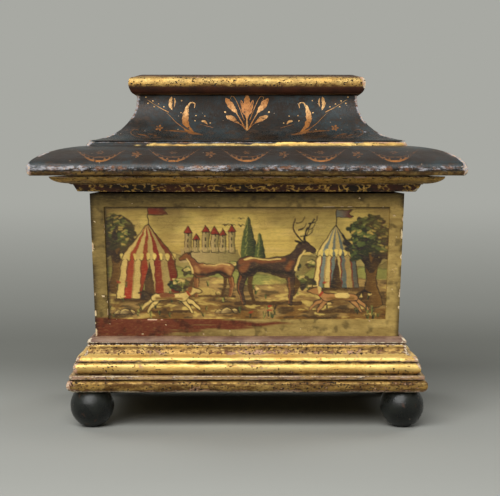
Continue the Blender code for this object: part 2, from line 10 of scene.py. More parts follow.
import bmesh
import bpy
import numpy as np
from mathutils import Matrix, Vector


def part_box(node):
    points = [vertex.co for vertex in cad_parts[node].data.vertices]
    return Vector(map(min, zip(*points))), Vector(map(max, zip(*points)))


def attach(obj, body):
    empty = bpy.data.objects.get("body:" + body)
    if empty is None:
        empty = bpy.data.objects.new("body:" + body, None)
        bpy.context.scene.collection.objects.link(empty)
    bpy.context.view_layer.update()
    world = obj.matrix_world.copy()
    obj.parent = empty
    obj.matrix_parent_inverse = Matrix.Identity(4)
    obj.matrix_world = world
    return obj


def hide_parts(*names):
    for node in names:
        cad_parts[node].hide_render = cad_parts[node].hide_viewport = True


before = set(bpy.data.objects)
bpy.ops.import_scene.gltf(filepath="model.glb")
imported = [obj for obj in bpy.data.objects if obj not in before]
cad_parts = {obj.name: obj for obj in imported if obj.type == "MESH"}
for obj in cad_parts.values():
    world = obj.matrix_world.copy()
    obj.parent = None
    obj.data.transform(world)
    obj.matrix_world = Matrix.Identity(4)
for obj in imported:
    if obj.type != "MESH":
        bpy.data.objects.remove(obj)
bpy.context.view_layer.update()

MM = 0.001
SIDES = ("front", "right", "back", "left")
LONG_SIDES = ("front", "back")
HANDS = ("left", "right")
HINGED_SIDE = "back"
HINGED_MOULDING = "lid_soffit_back"

# Camera, as fitted to the photograph's outline
CAMERA_PLACE = (0.0, -1.100, 0.1852)
CAMERA_PITCH = 3.276
CAMERA_LENS = 104.4
CAMERA_SENSOR = 36.0
CAMERA_SHIFT = 0.006

# Mouldings: how close their points lie, how far wear reaches from an arris, a hollow and a mitre
STATION = 1.5 * MM
PROFILE_STEP = 1.3 * MM
FLAT_STEP = 5.1 * MM
FLAT_LENGTH = 18.0 * MM
ARRIS_STEPS = (0.35 * MM, 0.9 * MM)
ARRIS_TURN = 42.0
FULL_TURN = 80.0
ARRIS_REACH = 1.1 * MM
NOOK_REACH = 1.4 * MM
MITRE_REACH = 2.0 * MM
FLAT_TOP = 0.4 * MM
SAME_PLACE = 2e-6
WELD = 1e-5
SHARP_ANGLE = 50.0

# Room that new pieces leave round the hinges, and the faces of a box by its corners in X, Y, Z order
POCKET_GAP = 0.1 * MM
BOX_FACES = ((0, 1, 3, 2), (4, 6, 7, 5), (0, 4, 5, 1), (2, 3, 7, 6), (0, 2, 6, 4), (1, 5, 7, 3))


# Numbers

def lattice(cells, seed):
    """Random numbers from 0 to 1 for whole-number cells, alike on every run."""
    x, y, z = np.moveaxis(cells.astype(np.int64), -1, 0)
    mixed = (x * 73856093 ^ y * 19349663 ^ z * 83492791 ^ seed * 2654435761) & 0xFFFFFFFF
    mixed = (mixed ^ (mixed >> 15)) * 2246822519 & 0xFFFFFFFF
    mixed = (mixed ^ (mixed >> 13)) * 3266489917 & 0xFFFFFFFF
    return ((mixed ^ (mixed >> 16)) & 0xFFFFFF) / 0xFFFFFF


def noise(points, size, seed=0):
    """Smooth noise from 0 to 1 over points, with blobs of a given size."""
    grid = np.asarray(points, float) / size
    low = np.floor(grid)
    part = grid - low
    part = part * part * (3 - 2 * part)
    total = 0.0
    for corner in itertools.product((0, 1), repeat=3):
        weight = np.where(corner, part, 1 - part).prod(axis=-1)
        total = total + weight * lattice(low + corner, seed)
    return total


def rough_noise(points, size, seed=0):
    """Noise with finer blobs on coarser ones, turned between so that no grid shows."""
    points = np.asarray(points, float)
    total = 0.0
    for octave, weight in enumerate((0.55, 0.30, 0.15)):
        x, y, z = np.moveaxis(points, -1, 0)
        x, z = 0.8 * x - 0.6 * z, 0.6 * x + 0.8 * z
        points = np.stack((0.8 * x - 0.6 * y, 0.6 * x + 0.8 * y, z), axis=-1)
        total = total + weight * noise(points, size / 2**octave, seed + octave)
    return total


def smooth_step(value, low, high):
    part = np.clip((value - low) / (high - low), 0, 1)
    return part * part * (3 - 2 * part)


def band(value, low, high, soft):
    """1 from low to high, falling to 0 over a soft edge."""
    return smooth_step(value, low - soft, low + soft) * smooth_step(value, high + soft, high - soft)


def bump(distance, reach):
    """1 at no distance, falling to 0 over about twice the reach."""
    return np.exp(-(distance / reach) ** 2)


def turned(points, quarters):
    """Points turned about Z by quarter turns."""
    cosine, sine = ((1, 0), (0, 1), (-1, 0), (0, -1))[quarters % 4]
    result = np.array(points, float)
    x, y = points[..., 0], points[..., 1]
    result[..., 0] = cosine * x - sine * y
    result[..., 1] = sine * x + cosine * y
    return result


def linear(red, green, blue):
    """A colour as it is seen on a screen, from 0 to 255, in linear light."""
    return tuple(
        (part / 255 / 12.92) if part <= 10 else ((part / 255 + 0.055) / 1.055) ** 2.4
        for part in (red, green, blue)
    )


# Graphs of nodes

class Value:
    """A number or colour in a graph, which sums and products work on."""

    def __init__(self, graph, socket):
        self.graph = graph
        self.socket = socket

    def math(self, operation, other=0.0):
        return self.graph.node("ShaderNodeMath", 0, {0: self, 1: other}, operation=operation)

    def __add__(self, other):
        return self.math("ADD", other)

    def __sub__(self, other):
        return self.math("SUBTRACT", other)

    def __mul__(self, other):
        return self.math("MULTIPLY", other)

    __rmul__ = __mul__

    def most(self, *others):
        result = self
        for other in others:
            result = result.math("MAXIMUM", other)
        return result

    def step(self, low, high, start=0.0, stop=1.0):
        """Runs smoothly from start to stop as this goes from low to high."""
        names = ("Value", "From Min", "From Max", "To Min", "To Max")
        inputs = dict(zip(names, (self, low, high, start, stop)))
        return self.graph.node("ShaderNodeMapRange", "Result", inputs, interpolation_type="SMOOTHSTEP")

    def mix(self, first, second):
        """Goes from a first number or colour to a second one as this goes from 0 to 1."""
        colour = any(
            value.socket.type == "RGBA" if isinstance(value, Value) else not np.isscalar(value)
            for value in (first, second)
        )
        kind, start, output = ("RGBA", 6, 2) if colour else ("FLOAT", 2, 0)
        inputs = {0: self, start: first, start + 1: second}
        return self.graph.node("ShaderNodeMix", output, inputs, data_type=kind)


class Graph:
    """Adds to a tree of nodes in a few words."""

    def __init__(self, tree):
        self.tree = tree

    def feed(self, socket, value):
        if isinstance(value, Value):
            self.tree.links.new(value.socket, socket)
        else:
            socket.default_value = (*value, 1) if socket.type == "RGBA" else value

    def node(self, kind, output, inputs=None, **settings):
        """A new node's output."""
        made = self.tree.nodes.new(kind)
        for key, value in settings.items():
            setattr(made, key, value)
        for key, value in (inputs or {}).items():
            self.feed(made.inputs[key], value)
        return Value(self, made.outputs[output])

    def attribute(self, name, output="Fac"):
        return self.node("ShaderNodeAttribute", output, attribute_name=name)

    def seen(self):
        """1 for what the camera sees, by itself or in a gloss, and 0 for what only lights the casket."""
        kinds = ("Camera", "Glossy", "Transmission")
        rays = [self.node("ShaderNodeLightPath", f"Is {kind} Ray") for kind in kinds]
        return rays[0].most(*rays[1:])


class MaterialGraph(Graph):
    """The graph of a material with one shader."""

    def __init__(self, name, gloss=0.5):
        self.material = bpy.data.materials.new(name)
        self.material.use_nodes = True
        super().__init__(self.material.node_tree)
        self.shader = self.tree.nodes["Principled BSDF"]
        self.shader.inputs["Specular IOR Level"].default_value = gloss
        self.place = self.node("ShaderNodeTexCoord", "Object")

    def texture(self, kind, output, seed, size, stretch, inputs, **settings):
        """A texture of a size, longer along an axis where the stretch is over 1, moved by its seed."""
        place = {
            "Vector": self.place, "Scale": [1 / part for part in stretch],
            "Location": (0.37 * seed, 0.91 * seed, 0.53 * seed),
        }
        mapped = self.node("ShaderNodeMapping", "Vector", place)
        return self.node(kind, output, {"Vector": mapped, "Scale": 1 / size, **inputs}, **settings)

    def noise(self, seed, size, detail=3.0, roughness=0.6, stretch=(1, 1, 1)):
        inputs = {"Detail": detail, "Roughness": roughness}
        return self.texture("ShaderNodeTexNoise", "Fac", seed, size, stretch, inputs)

    def cells(self, seed, size, feature="F1"):
        return self.texture("ShaderNodeTexVoronoi", "Distance", seed, size, (1, 1, 1), {}, feature=feature)

    def finish(self, surface, height_size):
        """Joins a surface's colour, metal, roughness and height to the shader."""
        for key, value in zip(("Base Color", "Metallic", "Roughness"), surface):
            self.feed(self.shader.inputs[key], value)
        relief = self.node("ShaderNodeBump", "Normal", {"Distance": height_size, "Height": surface[3]})
        self.feed(self.shader.inputs["Normal"], relief)
        return self.material


# Surfaces: each is a colour, how metallic it is, how rough, and its height

GOLD = linear(250, 214, 128)
GOLD_DEEP = linear(226, 180, 96)
GOLD_BROWN = linear(100, 69, 30)
BOLE = linear(132, 82, 48)
BOLE_DARK = linear(84, 54, 30)
GESSO = linear(224, 206, 176)
GESSO_CREAM = linear(218, 194, 146)
ROSE_GESSO = linear(196, 154, 124)
GRIME = linear(34, 23, 14)
LACQUER = linear(22, 23, 21)
LACQUER_BLUE = linear(44, 56, 59)
LACQUER_BROWN = linear(68, 47, 29)
LACQUER_GRIME_AND_SHADE = linear(30, 21, 13)
LACQUER_EARTH = linear(34, 20, 7)
LACQUER_SCUFF_AND_SHEEN = linear(166, 165, 170)
LACQUER_GLOSS = 0.27
GILT_GLOSS = 0.3
VIOLET = linear(112, 82, 68)
VIOLET_PALE = linear(152, 122, 98)
BAND_RED = linear(84, 44, 26)
RIM_BROWN = linear(66, 32, 14)
RIM_DARK = linear(42, 20, 9)
WOOD = linear(150, 112, 72)
WOOD_DARK = linear(98, 66, 40)
WOOD_DEEP = linear(60, 38, 22)
EBONY = linear(19, 21, 19)
EBONY_PALE = linear(30, 32, 28)
EBONY_RUBBED = linear(74, 48, 34)
EBONY_CHIP = linear(120, 108, 94)
EBONY_GLOSS = 0.36
BRASS = linear(172, 138, 78)
BRASS_DULL = linear(112, 84, 46)
BRASS_BROWN = linear(58, 46, 30)
IRON = linear(58, 52, 48)
RUST = linear(104, 62, 38)


def over(below, share, *top):
    """A surface with another one over it where a share says."""
    return tuple(share.mix(*pair) for pair in zip(below, top))


def gilding(graph, worn, nook, browning):
    """Leaf on red bole over gesso, streaky, rubbed through at the arrises, pitted, and grimy with painted
    shade in hollows.
    """
    streak = graph.noise(1, 0.0034, 4, 0.65, (6, 6, 1))
    cloud = graph.noise(2, 0.015, 4, 0.62, (2, 2, 1))
    flake = graph.noise(3, 0.0030, 5, 0.72, (1.8, 1.8, 1))
    speck = graph.noise(4, 0.0012, 2, 0.5, (1.4, 1.4, 1))
    smear = graph.noise(5, 0.0045, 5, 0.75, (4, 4, 1))
    leaf = streak.step(0.36, 0.62).mix(GOLD_DEEP, GOLD)
    leaf = cloud.step(0.50, 0.72, 0.0, 0.35).mix(leaf, GOLD_BROWN)
    leaf = (browning * (streak + flake).step(0.80, 1.12, 0.5, 1.0)).mix(leaf, GOLD_BROWN)
    bole = speck.step(0.35, 0.65).mix(BOLE_DARK, BOLE)
    bole = cloud.step(0.44, 0.60).mix(bole, ROSE_GESSO)
    loss = (worn * 0.36 + cloud * 0.30 + flake).step(0.79, 0.91)
    raw = (worn * 0.46 + speck).step(0.86, 1.0)
    pits = (cloud * 0.30 + browning * 0.06 + speck).step(0.81, 0.87)
    # Pits, smears and grime in nooks, the grime with painted shade.
    dirt_and_shade = pits.most(nook * flake.step(0.30, 0.60), smear.step(0.64, 0.73))
    made = (leaf, 0.42, flake.step(0.25, 0.75, 0.36, 0.54), speck * 0.5)
    made = over(made, loss, bole, 0.0, 0.62, 0.0)
    made = over(made, raw, GESSO, 0.0, 0.75, 0.1)
    return over(made, dirt_and_shade, pits.mix(WOOD_DEEP, GRIME), 0.0, 0.7, -0.6)


def lacquer(graph, worn, nook):
    """Blue-black paint with a satin gloss, brown where thin or browned, pale where scuffed or chipped, with
    streaks of painted sheen among the scuffs, and darker and duller in nooks with grime and painted shade.
    """
    cloud = graph.noise(11, 0.022, 4)
    grain = graph.noise(12, 0.0009, 4, 0.7, (1, 1, 6))
    speck = graph.noise(13, 0.0010)
    patch = graph.noise(14, 0.0040, 5, 0.75, (1.6, 1.6, 1))
    glint = graph.noise(17, 0.0024, 5, 0.78, (2.4, 2.4, 1))
    colour = cloud.step(0.35, 0.65).mix(LACQUER, LACQUER_BLUE)
    colour = grain.step(0.45, 0.70, 0.0, 0.6).mix(colour, LACQUER_BROWN)
    colour = patch.step(0.48, 0.66, 0.0, 0.75).mix(colour, LACQUER_BROWN)
    # Darker brown in nooks: grime and painted shade.
    colour = (nook * patch.step(0.40, 0.62, 0.1, 0.9)).mix(colour, LACQUER_GRIME_AND_SHADE)
    colour = (graph.attribute("browning") * cloud.step(0.3, 0.7, 0.9, 0.5)).mix(colour, LACQUER_EARTH)
    rough = grain.step(0.3, 0.7, 0.22, 0.36) - worn * 0.08 + nook * 0.36
    thin = (worn * 0.5 + patch).step(0.74, 0.92)
    # Pale streaks where worn and rubbed: scuffs with painted sheen among them.
    scuff_and_sheen = (worn * 0.34 + glint).step(0.66, 0.84, 0.0, 0.9)
    chip = (worn * 0.44 + speck).step(0.90, 0.99)
    dust = graph.cells(15, 0.0055).step(0.035, 0.070, 0.8, 0.0)
    pale = graph.noise(16, 0.002).mix(ROSE_GESSO, GESSO)
    made = over((colour, 0.0, rough, grain * 0.45), thin, speck.mix(BOLE_DARK, BOLE), 0.1, 0.40, 0.0)
    made = over(made, scuff_and_sheen, LACQUER_SCUFF_AND_SHEEN, 0.0, 0.34, 0.0)
    return over(made, chip.most(dust), pale, 0.0, 0.6, 0.1)


def worn_paint(graph, worn, nook, first, second, rough=0.5):
    """Plain old paint that goes from one colour to another in clouds, chipped pale at the arrises, and darker
    in nooks with grime and painted shade.
    """
    cloud = graph.noise(21, 0.009, 4, 0.65, (2.5, 2.5, 1))
    speck = graph.noise(22, 0.0012, 3, 0.6, (1.5, 1.5, 1))
    made = (cloud.step(0.38, 0.64).mix(first, second), 0.0, rough, speck * 0.3)
    made = over(made, (worn * 0.48 + speck).step(0.84, 0.98), GESSO, 0.0, 0.75, -0.2)
    # Darker in nooks: grime and painted shade.
    return over(made, nook * 0.6, GRIME, 0.0, 0.7, -0.3)


violet = partial(worn_paint, first=VIOLET, second=VIOLET_PALE)
stained = partial(worn_paint, first=GRIME, second=WOOD_DEEP, rough=0.7)


def bare_wood(graph, along=(14, 14, 1)):
    """Old planed softwood, with its grain along the stretched axes."""
    grain = graph.noise(31, 0.0016, 4, 0.6, along)
    stain = graph.noise(32, 0.03)
    colour = grain.step(0.35, 0.68).mix(WOOD, WOOD_DARK)
    return stain.step(0.45, 0.85, 0.0, 0.22).mix(colour, WOOD_DEEP), 0.0, 0.62, grain * 0.5


def scrolled_band(graph, worn, nook):
    """A dark red band with broken gilt scrolls."""
    warp = graph.noise(41, 0.0034, 1, 0.4, (1.5, 1.5, 1))
    scroll = (warp - 0.5).math("ABSOLUTE").step(0.035, 0.075, 1.0, 0.0)
    kept = graph.noise(42, 0.010, 2, 0.5).step(0.40, 0.50)
    rubbed = graph.noise(43, 0.0016, 4, 0.7).step(0.35, 0.65)
    plain = worn_paint(graph, worn, nook, BAND_RED, GRIME, 0.55)
    return over(plain, scroll * kept, rubbed.mix(GOLD_DEEP, GOLD_BROWN), 0.45, 0.45, 0.3)


def top_paint(graph, worn, nook):
    """Dark red-brown, as the top board is below and above its gilt rim, and dark paint on its flat top."""
    brown = worn_paint(graph, worn, nook, RIM_BROWN, RIM_DARK, 0.6)
    height = graph.node("ShaderNodeSeparateXYZ", "Z", {0: graph.place})
    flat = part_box("lid_top")[1][2] - FLAT_TOP
    return over(brown, height.step(flat - MM, flat), *lacquer(graph, worn, 1.0))


def moulding_material(name, beside, gloss=GILT_GLOSS):
    """Gilding where the gilt attribute says, another finish beside it, and bare wood where it isn't seen."""
    graph = MaterialGraph(name, gloss)
    worn, nook, browning = (graph.attribute(key) for key in ("worn", "nook", "browning"))
    made = over(beside(graph, worn, nook), graph.attribute("gilt"), *gilding(graph, worn, nook, browning))
    return graph.finish(over(made, graph.attribute("bare"), *bare_wood(graph)), 0.4 * MM)


def ebony_material():
    graph = MaterialGraph("ebonised_feet", EBONY_GLOSS)
    cloud = graph.noise(51, 0.012, 4)
    speck = graph.noise(52, 0.0012)
    rub = graph.noise(53, 0.007, 5, 0.7).step(0.57, 0.68)
    chip = graph.cells(54, 0.009).step(0.04, 0.07, 1.0, 0.0)
    colour = cloud.step(0.35, 0.65).mix(EBONY, EBONY_PALE)
    made = (colour, 0.0, cloud.step(0.3, 0.7, 0.24, 0.38), speck * 0.5)
    made = over(made, rub * 0.7, EBONY_RUBBED, 0.0, 0.5, -0.1)
    return graph.finish(over(made, chip, EBONY_CHIP, 0.0, 0.7, -0.4), 0.3 * MM)


def brass_material():
    graph = MaterialGraph("aged_brass")
    cloud = graph.noise(61, 0.004, 4, 0.65)
    scratch = graph.noise(62, 0.0005, 3, 0.6, (9, 1, 1))
    browning = graph.noise(63, 0.0022, 4, 0.7).step(0.58, 0.70)
    colour = cloud.step(0.38, 0.66).mix(BRASS, BRASS_DULL)
    made = (colour, 1.0, cloud.step(0.3, 0.7, 0.30, 0.52), scratch * 0.4)
    return graph.finish(over(made, browning, BRASS_BROWN, 0.5, 0.6, -0.1), 0.1 * MM)


def iron_material():
    graph = MaterialGraph("oxidised_iron")
    cloud = graph.noise(71, 0.0022, 4, 0.7)
    made = (cloud.step(0.4, 0.62).mix(IRON, RUST), cloud.step(0.4, 0.62, 0.8, 0.2), 0.62, cloud)
    return graph.finish(made, 0.2 * MM)


def plain_wood_material(name, along):
    graph = MaterialGraph(name)
    return graph.finish(bare_wood(graph, along), 0.3 * MM)


def ground_material():
    """Cream gesso, stained, as it shows where the paint is gone."""
    graph = MaterialGraph("gesso_ground")
    stain = graph.noise(86, 0.006, 4, 0.7)
    return graph.finish((stain.step(0.4, 0.7).mix(GESSO_CREAM, ROSE_GESSO), 0.0, 0.75, stain), 0.1 * MM)


# Reading the frame

def read_mesh(node):
    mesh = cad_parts[node].data
    points = np.empty(len(mesh.vertices) * 3)
    mesh.vertices.foreach_get("co", points)
    mesh.calc_loop_triangles()
    triangles = np.empty(len(mesh.loop_triangles) * 3, np.int64)
    mesh.loop_triangles.foreach_get("vertices", triangles)
    return points.reshape(-1, 3), triangles.reshape(-1, 3)


def read_end(node, quarters):
    """What lies in the mitre plane at the right end of a moulding or slab that is turned to the front.

    Gives all points as (out, up), which of them are at the end, the triangles, and how much longer
    the moulding's half length is than its distance out.
    """
    points, triangles = read_mesh(node)
    points = turned(points, -quarters)
    out = -points[:, 1]
    extra = points[:, 0].max() - out.max()
    at_end = np.isclose(points[:, 0] - out, extra, atol=SAME_PLACE)
    return np.column_stack((out, points[:, 2])), at_end, triangles, extra


def read_profile(node, quarters):
    """A moulding's profile as a loop of (out, up) points that turns left, and its extra length."""
    pairs, at_end, triangles, extra = read_end(node, quarters)
    keys = [tuple(pair) for pair in pairs.round(6)]
    edges = set()
    for corners in triangles[at_end[triangles].all(axis=1)]:
        for first, second in zip(corners, np.roll(corners, -1)):
            edge = (keys[first], keys[second])
            if edge[::-1] in edges:
                edges.remove(edge[::-1])
            else:
                edges.add(edge)
    follows = dict(edges)
    loop = [max(follows)]
    while len(loop) < len(follows):
        loop.append(follows[loop[-1]])
    loop = np.array(loop)
    ahead = np.roll(loop, -1, axis=0)
    area = (loop[:, 0] * ahead[:, 1] - loop[:, 1] * ahead[:, 0]).sum()
    return (loop if area > 0 else loop[::-1]), extra


def read_slab_profile(node, quarters):
    """A slab's edge as a line that starts and ends at the slab's middle, and its extra length."""
    pairs, at_end, _, extra = read_end(node, quarters)
    edge = np.unique(pairs[at_end].round(6), axis=0)
    edge = edge[np.argsort(edge[:, 1], kind="stable")]
    middle = max(0.0, -extra)
    return np.vstack(((middle, edge[0, 1]), edge, (middle, edge[-1, 1]))), extra


# Worn mouldings

def curve_point(start, stop, start_way, stop_way, share):
    """A point on a smooth curve from start to stop that leaves and comes in along two unit ways."""
    length = np.linalg.norm(stop - start)
    rest = 1 - share
    return (
        start * rest**2 * (1 + 2 * share)
        + stop * share**2 * (1 + 2 * rest)
        + (start_way * rest - stop_way * share) * share * rest * length
    )


class Profile:
    """Points along a profile, close together at its arrises, with what wear needs to know.

    A moulding's is a closed loop. A slab's is open and runs from its middle below to its middle above.
    """

    def __init__(self, line, closed):
        turns = self.turns(line)
        sharp = np.abs(turns) > ARRIS_TURN
        ends = np.zeros(len(line), bool)
        ends[[0, -1]] = not closed
        straight = sharp | ends
        stretches = np.roll(line, -1, axis=0) - line
        lengths = np.linalg.norm(stretches, axis=1)
        ways = stretches / lengths[:, None]
        joint_ways = stretches + np.roll(stretches, 1, axis=0)
        joint_ways /= np.linalg.norm(joint_ways, axis=1)[:, None]
        points, corners, at = [], [], 0.0
        for index in range(len(line) if closed else len(line) - 1):
            after = (index + 1) % len(line)
            start_way = ways[index] if straight[index] else joint_ways[index]
            stop_way = ways[index] if straight[after] else joint_ways[after]
            if sharp[index] and not ends[index]:
                corners.append((at, turns[index]))
            for share in self.shares(lengths[index], sharp[index], sharp[after]):
                points.append(curve_point(line[index], line[after], start_way, stop_way, share))
            at += lengths[index]
        if not closed:
            points.append(line[-1])
        self.points = np.clip(points, line.min(axis=0), line.max(axis=0))
        steps = np.linalg.norm(np.roll(self.points, -1, axis=0) - self.points, axis=1)
        self.at = np.concatenate(([0.0], np.cumsum(steps)[:-1]))
        self.around = steps.sum() if closed else math.inf
        if closed:
            tangent = np.roll(self.points, -1, axis=0) - np.roll(self.points, 1, axis=0)
        else:
            tangent = np.gradient(self.points, axis=0)
        tangent /= np.linalg.norm(tangent, axis=1)[:, None]
        self.normals = np.column_stack((tangent[:, 1], -tangent[:, 0]))
        self.arris = self.nearness(corners, 1, ARRIS_REACH)
        self.nook = self.nearness(corners, -1, NOOK_REACH)

    @staticmethod
    def turns(loop):
        """How far the loop turns left at every point, in degrees."""
        back = loop - np.roll(loop, 1, axis=0)
        ahead = np.roll(loop, -1, axis=0) - loop
        cross = back[:, 0] * ahead[:, 1] - back[:, 1] * ahead[:, 0]
        return np.degrees(np.arctan2(cross, (back * ahead).sum(axis=1)))

    @staticmethod
    def shares(length, sharp_start, sharp_stop):
        """Where points go on a stretch, as shares of its length from 0 up to but not including 1."""
        pitch = PROFILE_STEP if length < FLAT_LENGTH else FLAT_STEP
        places = set(np.linspace(0, 1, max(1, math.ceil(length / pitch)), endpoint=False))
        for step in ARRIS_STEPS:
            if sharp_start and step < length / 2:
                places.add(step / length)
            if sharp_stop and step < length / 2:
                places.add(1 - step / length)
        return sorted(places)

    def nearness(self, corners, sign, reach):
        """How near each point is to a corner that turns a given way, from 0 to 1."""
        result = np.zeros(len(self.points))
        for at, turn in corners:
            if turn * sign > 0:
                apart = np.abs(self.at - at)
                apart = np.minimum(apart, self.around - apart)
                result = np.maximum(result, bump(apart, reach) * min(1.0, abs(turn) / FULL_TURN))
        return result


class Strip:
    """A grid of points over one length of moulding, from its left mitre to its right, facing -Y."""

    def __init__(self, profile, extra):
        self.profile = profile
        self.half = np.maximum(profile.points[:, 0] + extra, 0.0)
        longest = self.half.max()
        near_end = 1 - np.array(ARRIS_STEPS) / longest
        inner = np.linspace(-1, 1, max(4, math.ceil(2 * longest / STATION)))
        self.share = np.unique(np.concatenate((inner, near_end, -near_end)))
        along = self.share[:, None] * self.half
        out, up, normal_out, normal_up = (
            np.broadcast_to(part, along.shape) for part in (*profile.points.T, *profile.normals.T)
        )
        self.points = np.stack((along, -out, up), axis=-1)
        self.end = bump(self.half * (1 - np.abs(self.share[:, None])), MITRE_REACH)
        sideways = self.end * np.sign(self.share)[:, None] * normal_out
        normals = np.stack((sideways, -normal_out, normal_up), axis=-1)
        self.normals = normals / np.linalg.norm(normals, axis=-1)[..., None]

    def wear(self, world, rough, rub, arris, split):
        """Sinks the surface by unevenness, dents and chips in millimetres, and notes how worn it is."""
        arris = self.profile.arris * arris
        mitre = self.end * smooth_step(self.profile.normals[:, 0], 0.1, 0.6)
        chips = smooth_step(rough_noise(world, 0.0070, 3), 0.56, 0.74)
        dents = smooth_step(rough_noise(world, 0.007, 5), 0.66, 0.80)
        sink = 0.16 * rough_noise(world, 0.006, 7) + 0.45 * noise(world, 0.024, 9) + 0.30 * dents
        sink = sink + arris * (0.18 + 0.60 * chips) + mitre * (0.25 + 0.80 * chips)
        self.points = self.points - self.normals * (sink * rough * MM)[..., None]
        tone = rough_noise(world, 0.018, 13)
        worn = arris * (0.45 + 0.8 * tone + 0.5 * chips) + 0.3 * dents + rub * (0.3 + 1.2 * tone)
        self.worn = np.clip(worn + mitre * (split + 1.6 * smooth_step(tone, 0.44, 0.62)), 0, 1)


def grid_faces(rows, columns, wrap):
    """Quads over a grid of points, closed across its columns if it wraps."""
    index = np.arange(rows * columns).reshape(rows, columns)
    if wrap:
        index = np.concatenate((index, index[:, :1]), axis=1)
    corners = (index[:-1, :-1], index[1:, :-1], index[1:, 1:], index[:-1, 1:])
    return np.stack(corners, axis=-1).reshape(-1, 4)


def build_mesh(name, points, faces, material, weld=False, **attributes):
    """A mesh with numbers or colours at its points, smooth except along its sharp edges."""
    mesh = bpy.data.meshes.new(name)
    mesh.from_pydata(points, [], faces)
    for key, values in attributes.items():
        kind, field = ("FLOAT", "value") if values.ndim == 1 else ("FLOAT_COLOR", "color")
        mesh.attributes.new(key, kind, "POINT").data.foreach_set(field, values.astype(np.float32).ravel())
    mesh.materials.append(material)
    if weld:
        welded = bmesh.new()
        welded.from_mesh(mesh)
        bmesh.ops.remove_doubles(welded, verts=welded.verts, dist=WELD)
        welded.to_mesh(mesh)
        welded.free()
    mesh.shade_smooth()
    mesh.set_sharp_from_angle(angle=math.radians(SHARP_ANGLE))
    return mesh


def add_object(name, data):
    made = bpy.data.objects.new(name, data)
    bpy.context.scene.collection.objects.link(made)
    return made


def cut_pockets(mesh):
    """The same mesh with room for the two hinges taken out of it."""
    blank = add_object("blank", mesh)
    cutters = []
    for hand in HANDS:
        ends = np.array(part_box(f"case_hinge_leaf_{hand}")) + np.array(((-1,), (1,))) * POCKET_GAP
        corners = [tuple(ends[pick, range(3)]) for pick in itertools.product((0, 1), repeat=3)]
        box = bpy.data.meshes.new("pocket")
        box.from_pydata(corners, [], BOX_FACES)
        cutters.append(add_object("pocket", box))
        blank.modifiers.new("pocket", "BOOLEAN").object = cutters[-1]
    graph = bpy.context.evaluated_depsgraph_get()
    made = bpy.data.meshes.new_from_object(blank.evaluated_get(graph))
    made.name = mesh.name
    for item in (blank, *cutters):
        bpy.data.objects.remove(item)
    return made


def add_piece(name, mesh, body, slot, *nodes):
    piece = add_object(name, mesh)
    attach(piece, body)
    if nodes:
        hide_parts(*nodes)


def worn_strip(quarters, line, extra, closed, zones, rough):
    """One worn length, and its grid's points, quads and attributes in flat arrays.

    Gilding that fades is gone in stretches, more of them to the left, and sooner the more it fades.
    A zone's own nook is dull, darker paint, with grime and painted shade, less so towards the ends.
    """
    strip = Strip(Profile(line, closed), extra)
    world = turned(strip.points, quarters)
    up = strip.profile.points[:, 1]
    zone = dict.fromkeys(("gilt", "bare", "rub", "browning", "fade", "nook"), 0.0)
    zone.update(arris=1.0, mitre=0.1)
    zone.update(zones((up - up.min()) / MM, *strip.profile.normals.T))
    lost = rough_noise(world, 0.012, 15) - 0.34 * strip.share[:, None]
    zone["gilt"] = zone["gilt"] * (1 - smooth_step(zone["fade"] * lost, 0.60, 0.72))
    # Dull, darker paint in a zone's nook: grime and painted shade.
    dull = zone["nook"] * (1 - 0.7 * smooth_step(np.abs(strip.share), 0.45, 1.0))[:, None]
    zone["nook"] = np.maximum(dull, strip.profile.nook)
    strip.wear(world, rough, zone["rub"], zone["arris"], zone["mitre"])
    zone["worn"] = strip.worn
    rows, columns = strip.worn.shape
    parts = {
        key: np.broadcast_to(zone[key] * 1.0, (rows, columns)).ravel()
        for key in ("worn", "nook", "gilt", "bare", "browning")
    }
    parts["points"] = turned(strip.points, quarters).reshape(-1, 3)
    parts["faces"] = grid_faces(rows, columns, closed)
    return strip, parts


def moulding_piece(node, quarters, body, slot, material, zones, rough):
    """A worn copy of one length of moulding."""
    strip, parts = worn_strip(quarters, *read_profile(node, quarters), True, zones, rough)
    rows, columns = strip.worn.shape
    points, faces = parts.pop("points").tolist(), parts.pop("faces").tolist()
    faces += [list(range(columns)), list(range((rows - 1) * columns, rows * columns))[::-1]]
    mesh = build_mesh(node + "_worn", points, faces, material, **parts)
    if node == HINGED_MOULDING:
        mesh = cut_pockets(mesh)
    add_piece(node + "_worn", mesh, body, slot, node)
    return strip


def slab_piece(node, body, slot, material, zones, rough):
    """A worn copy of a moulded board: four strips that meet at its corners and its middle."""
    strips = []
    count = 0
    for quarters in range(4):
        parts = worn_strip(quarters, *read_slab_profile(node, quarters), False, zones, rough)[1]
        parts["faces"] = parts["faces"] + count
        count += len(parts["points"])
        strips.append(parts)
    joined = {key: np.concatenate([parts[key] for parts in strips]) for key in strips[0]}
    points, faces = joined.pop("points").tolist(), joined.pop("faces").tolist()
    mesh = build_mesh(node + "_worn", points, faces, material, weld=True, **joined)
    add_piece(node + "_worn", mesh, body, slot, node)


# Where the mouldings are gilt, bare, rubbed, browned or dull, by millimetres up and the way a face looks.
# Browning is tarnish, and painted shade where faces turn down; nooks are grime and painted shade

def plinth_zones(up, outward, upward):
    cavetto = band(up, 17.4, 22.6, 0.7)
    # Faces that turn down are browned as painted shade.
    underside = 0.75 * smooth_step(upward, 0.25, -0.45)
    return {
        "gilt": np.where(up > 3.4, 1.0, 0.45), "bare": outward < -0.5,
        "rub": 0.10 + 0.36 * band(up, 17.2, 20.0, 0.8), "browning": np.maximum(cavetto, underside),
    }


def bead_zones(up, outward, upward):
    return {"bare": outward < -0.5, "rub": 0.1}


def base_zones(up, outward, upward):
    return {"gilt": upward > -0.9, "rub": 0.12 + 0.9 * smooth_step(up, 2.6, 0.8), "browning": 1.0}


def soffit_zones(up, outward, upward):
    hidden = (outward < -0.5) | (upward < -0.9) & (up < 1)
    return {"gilt": up > 5.0, "bare": hidden, "browning": 0.82}


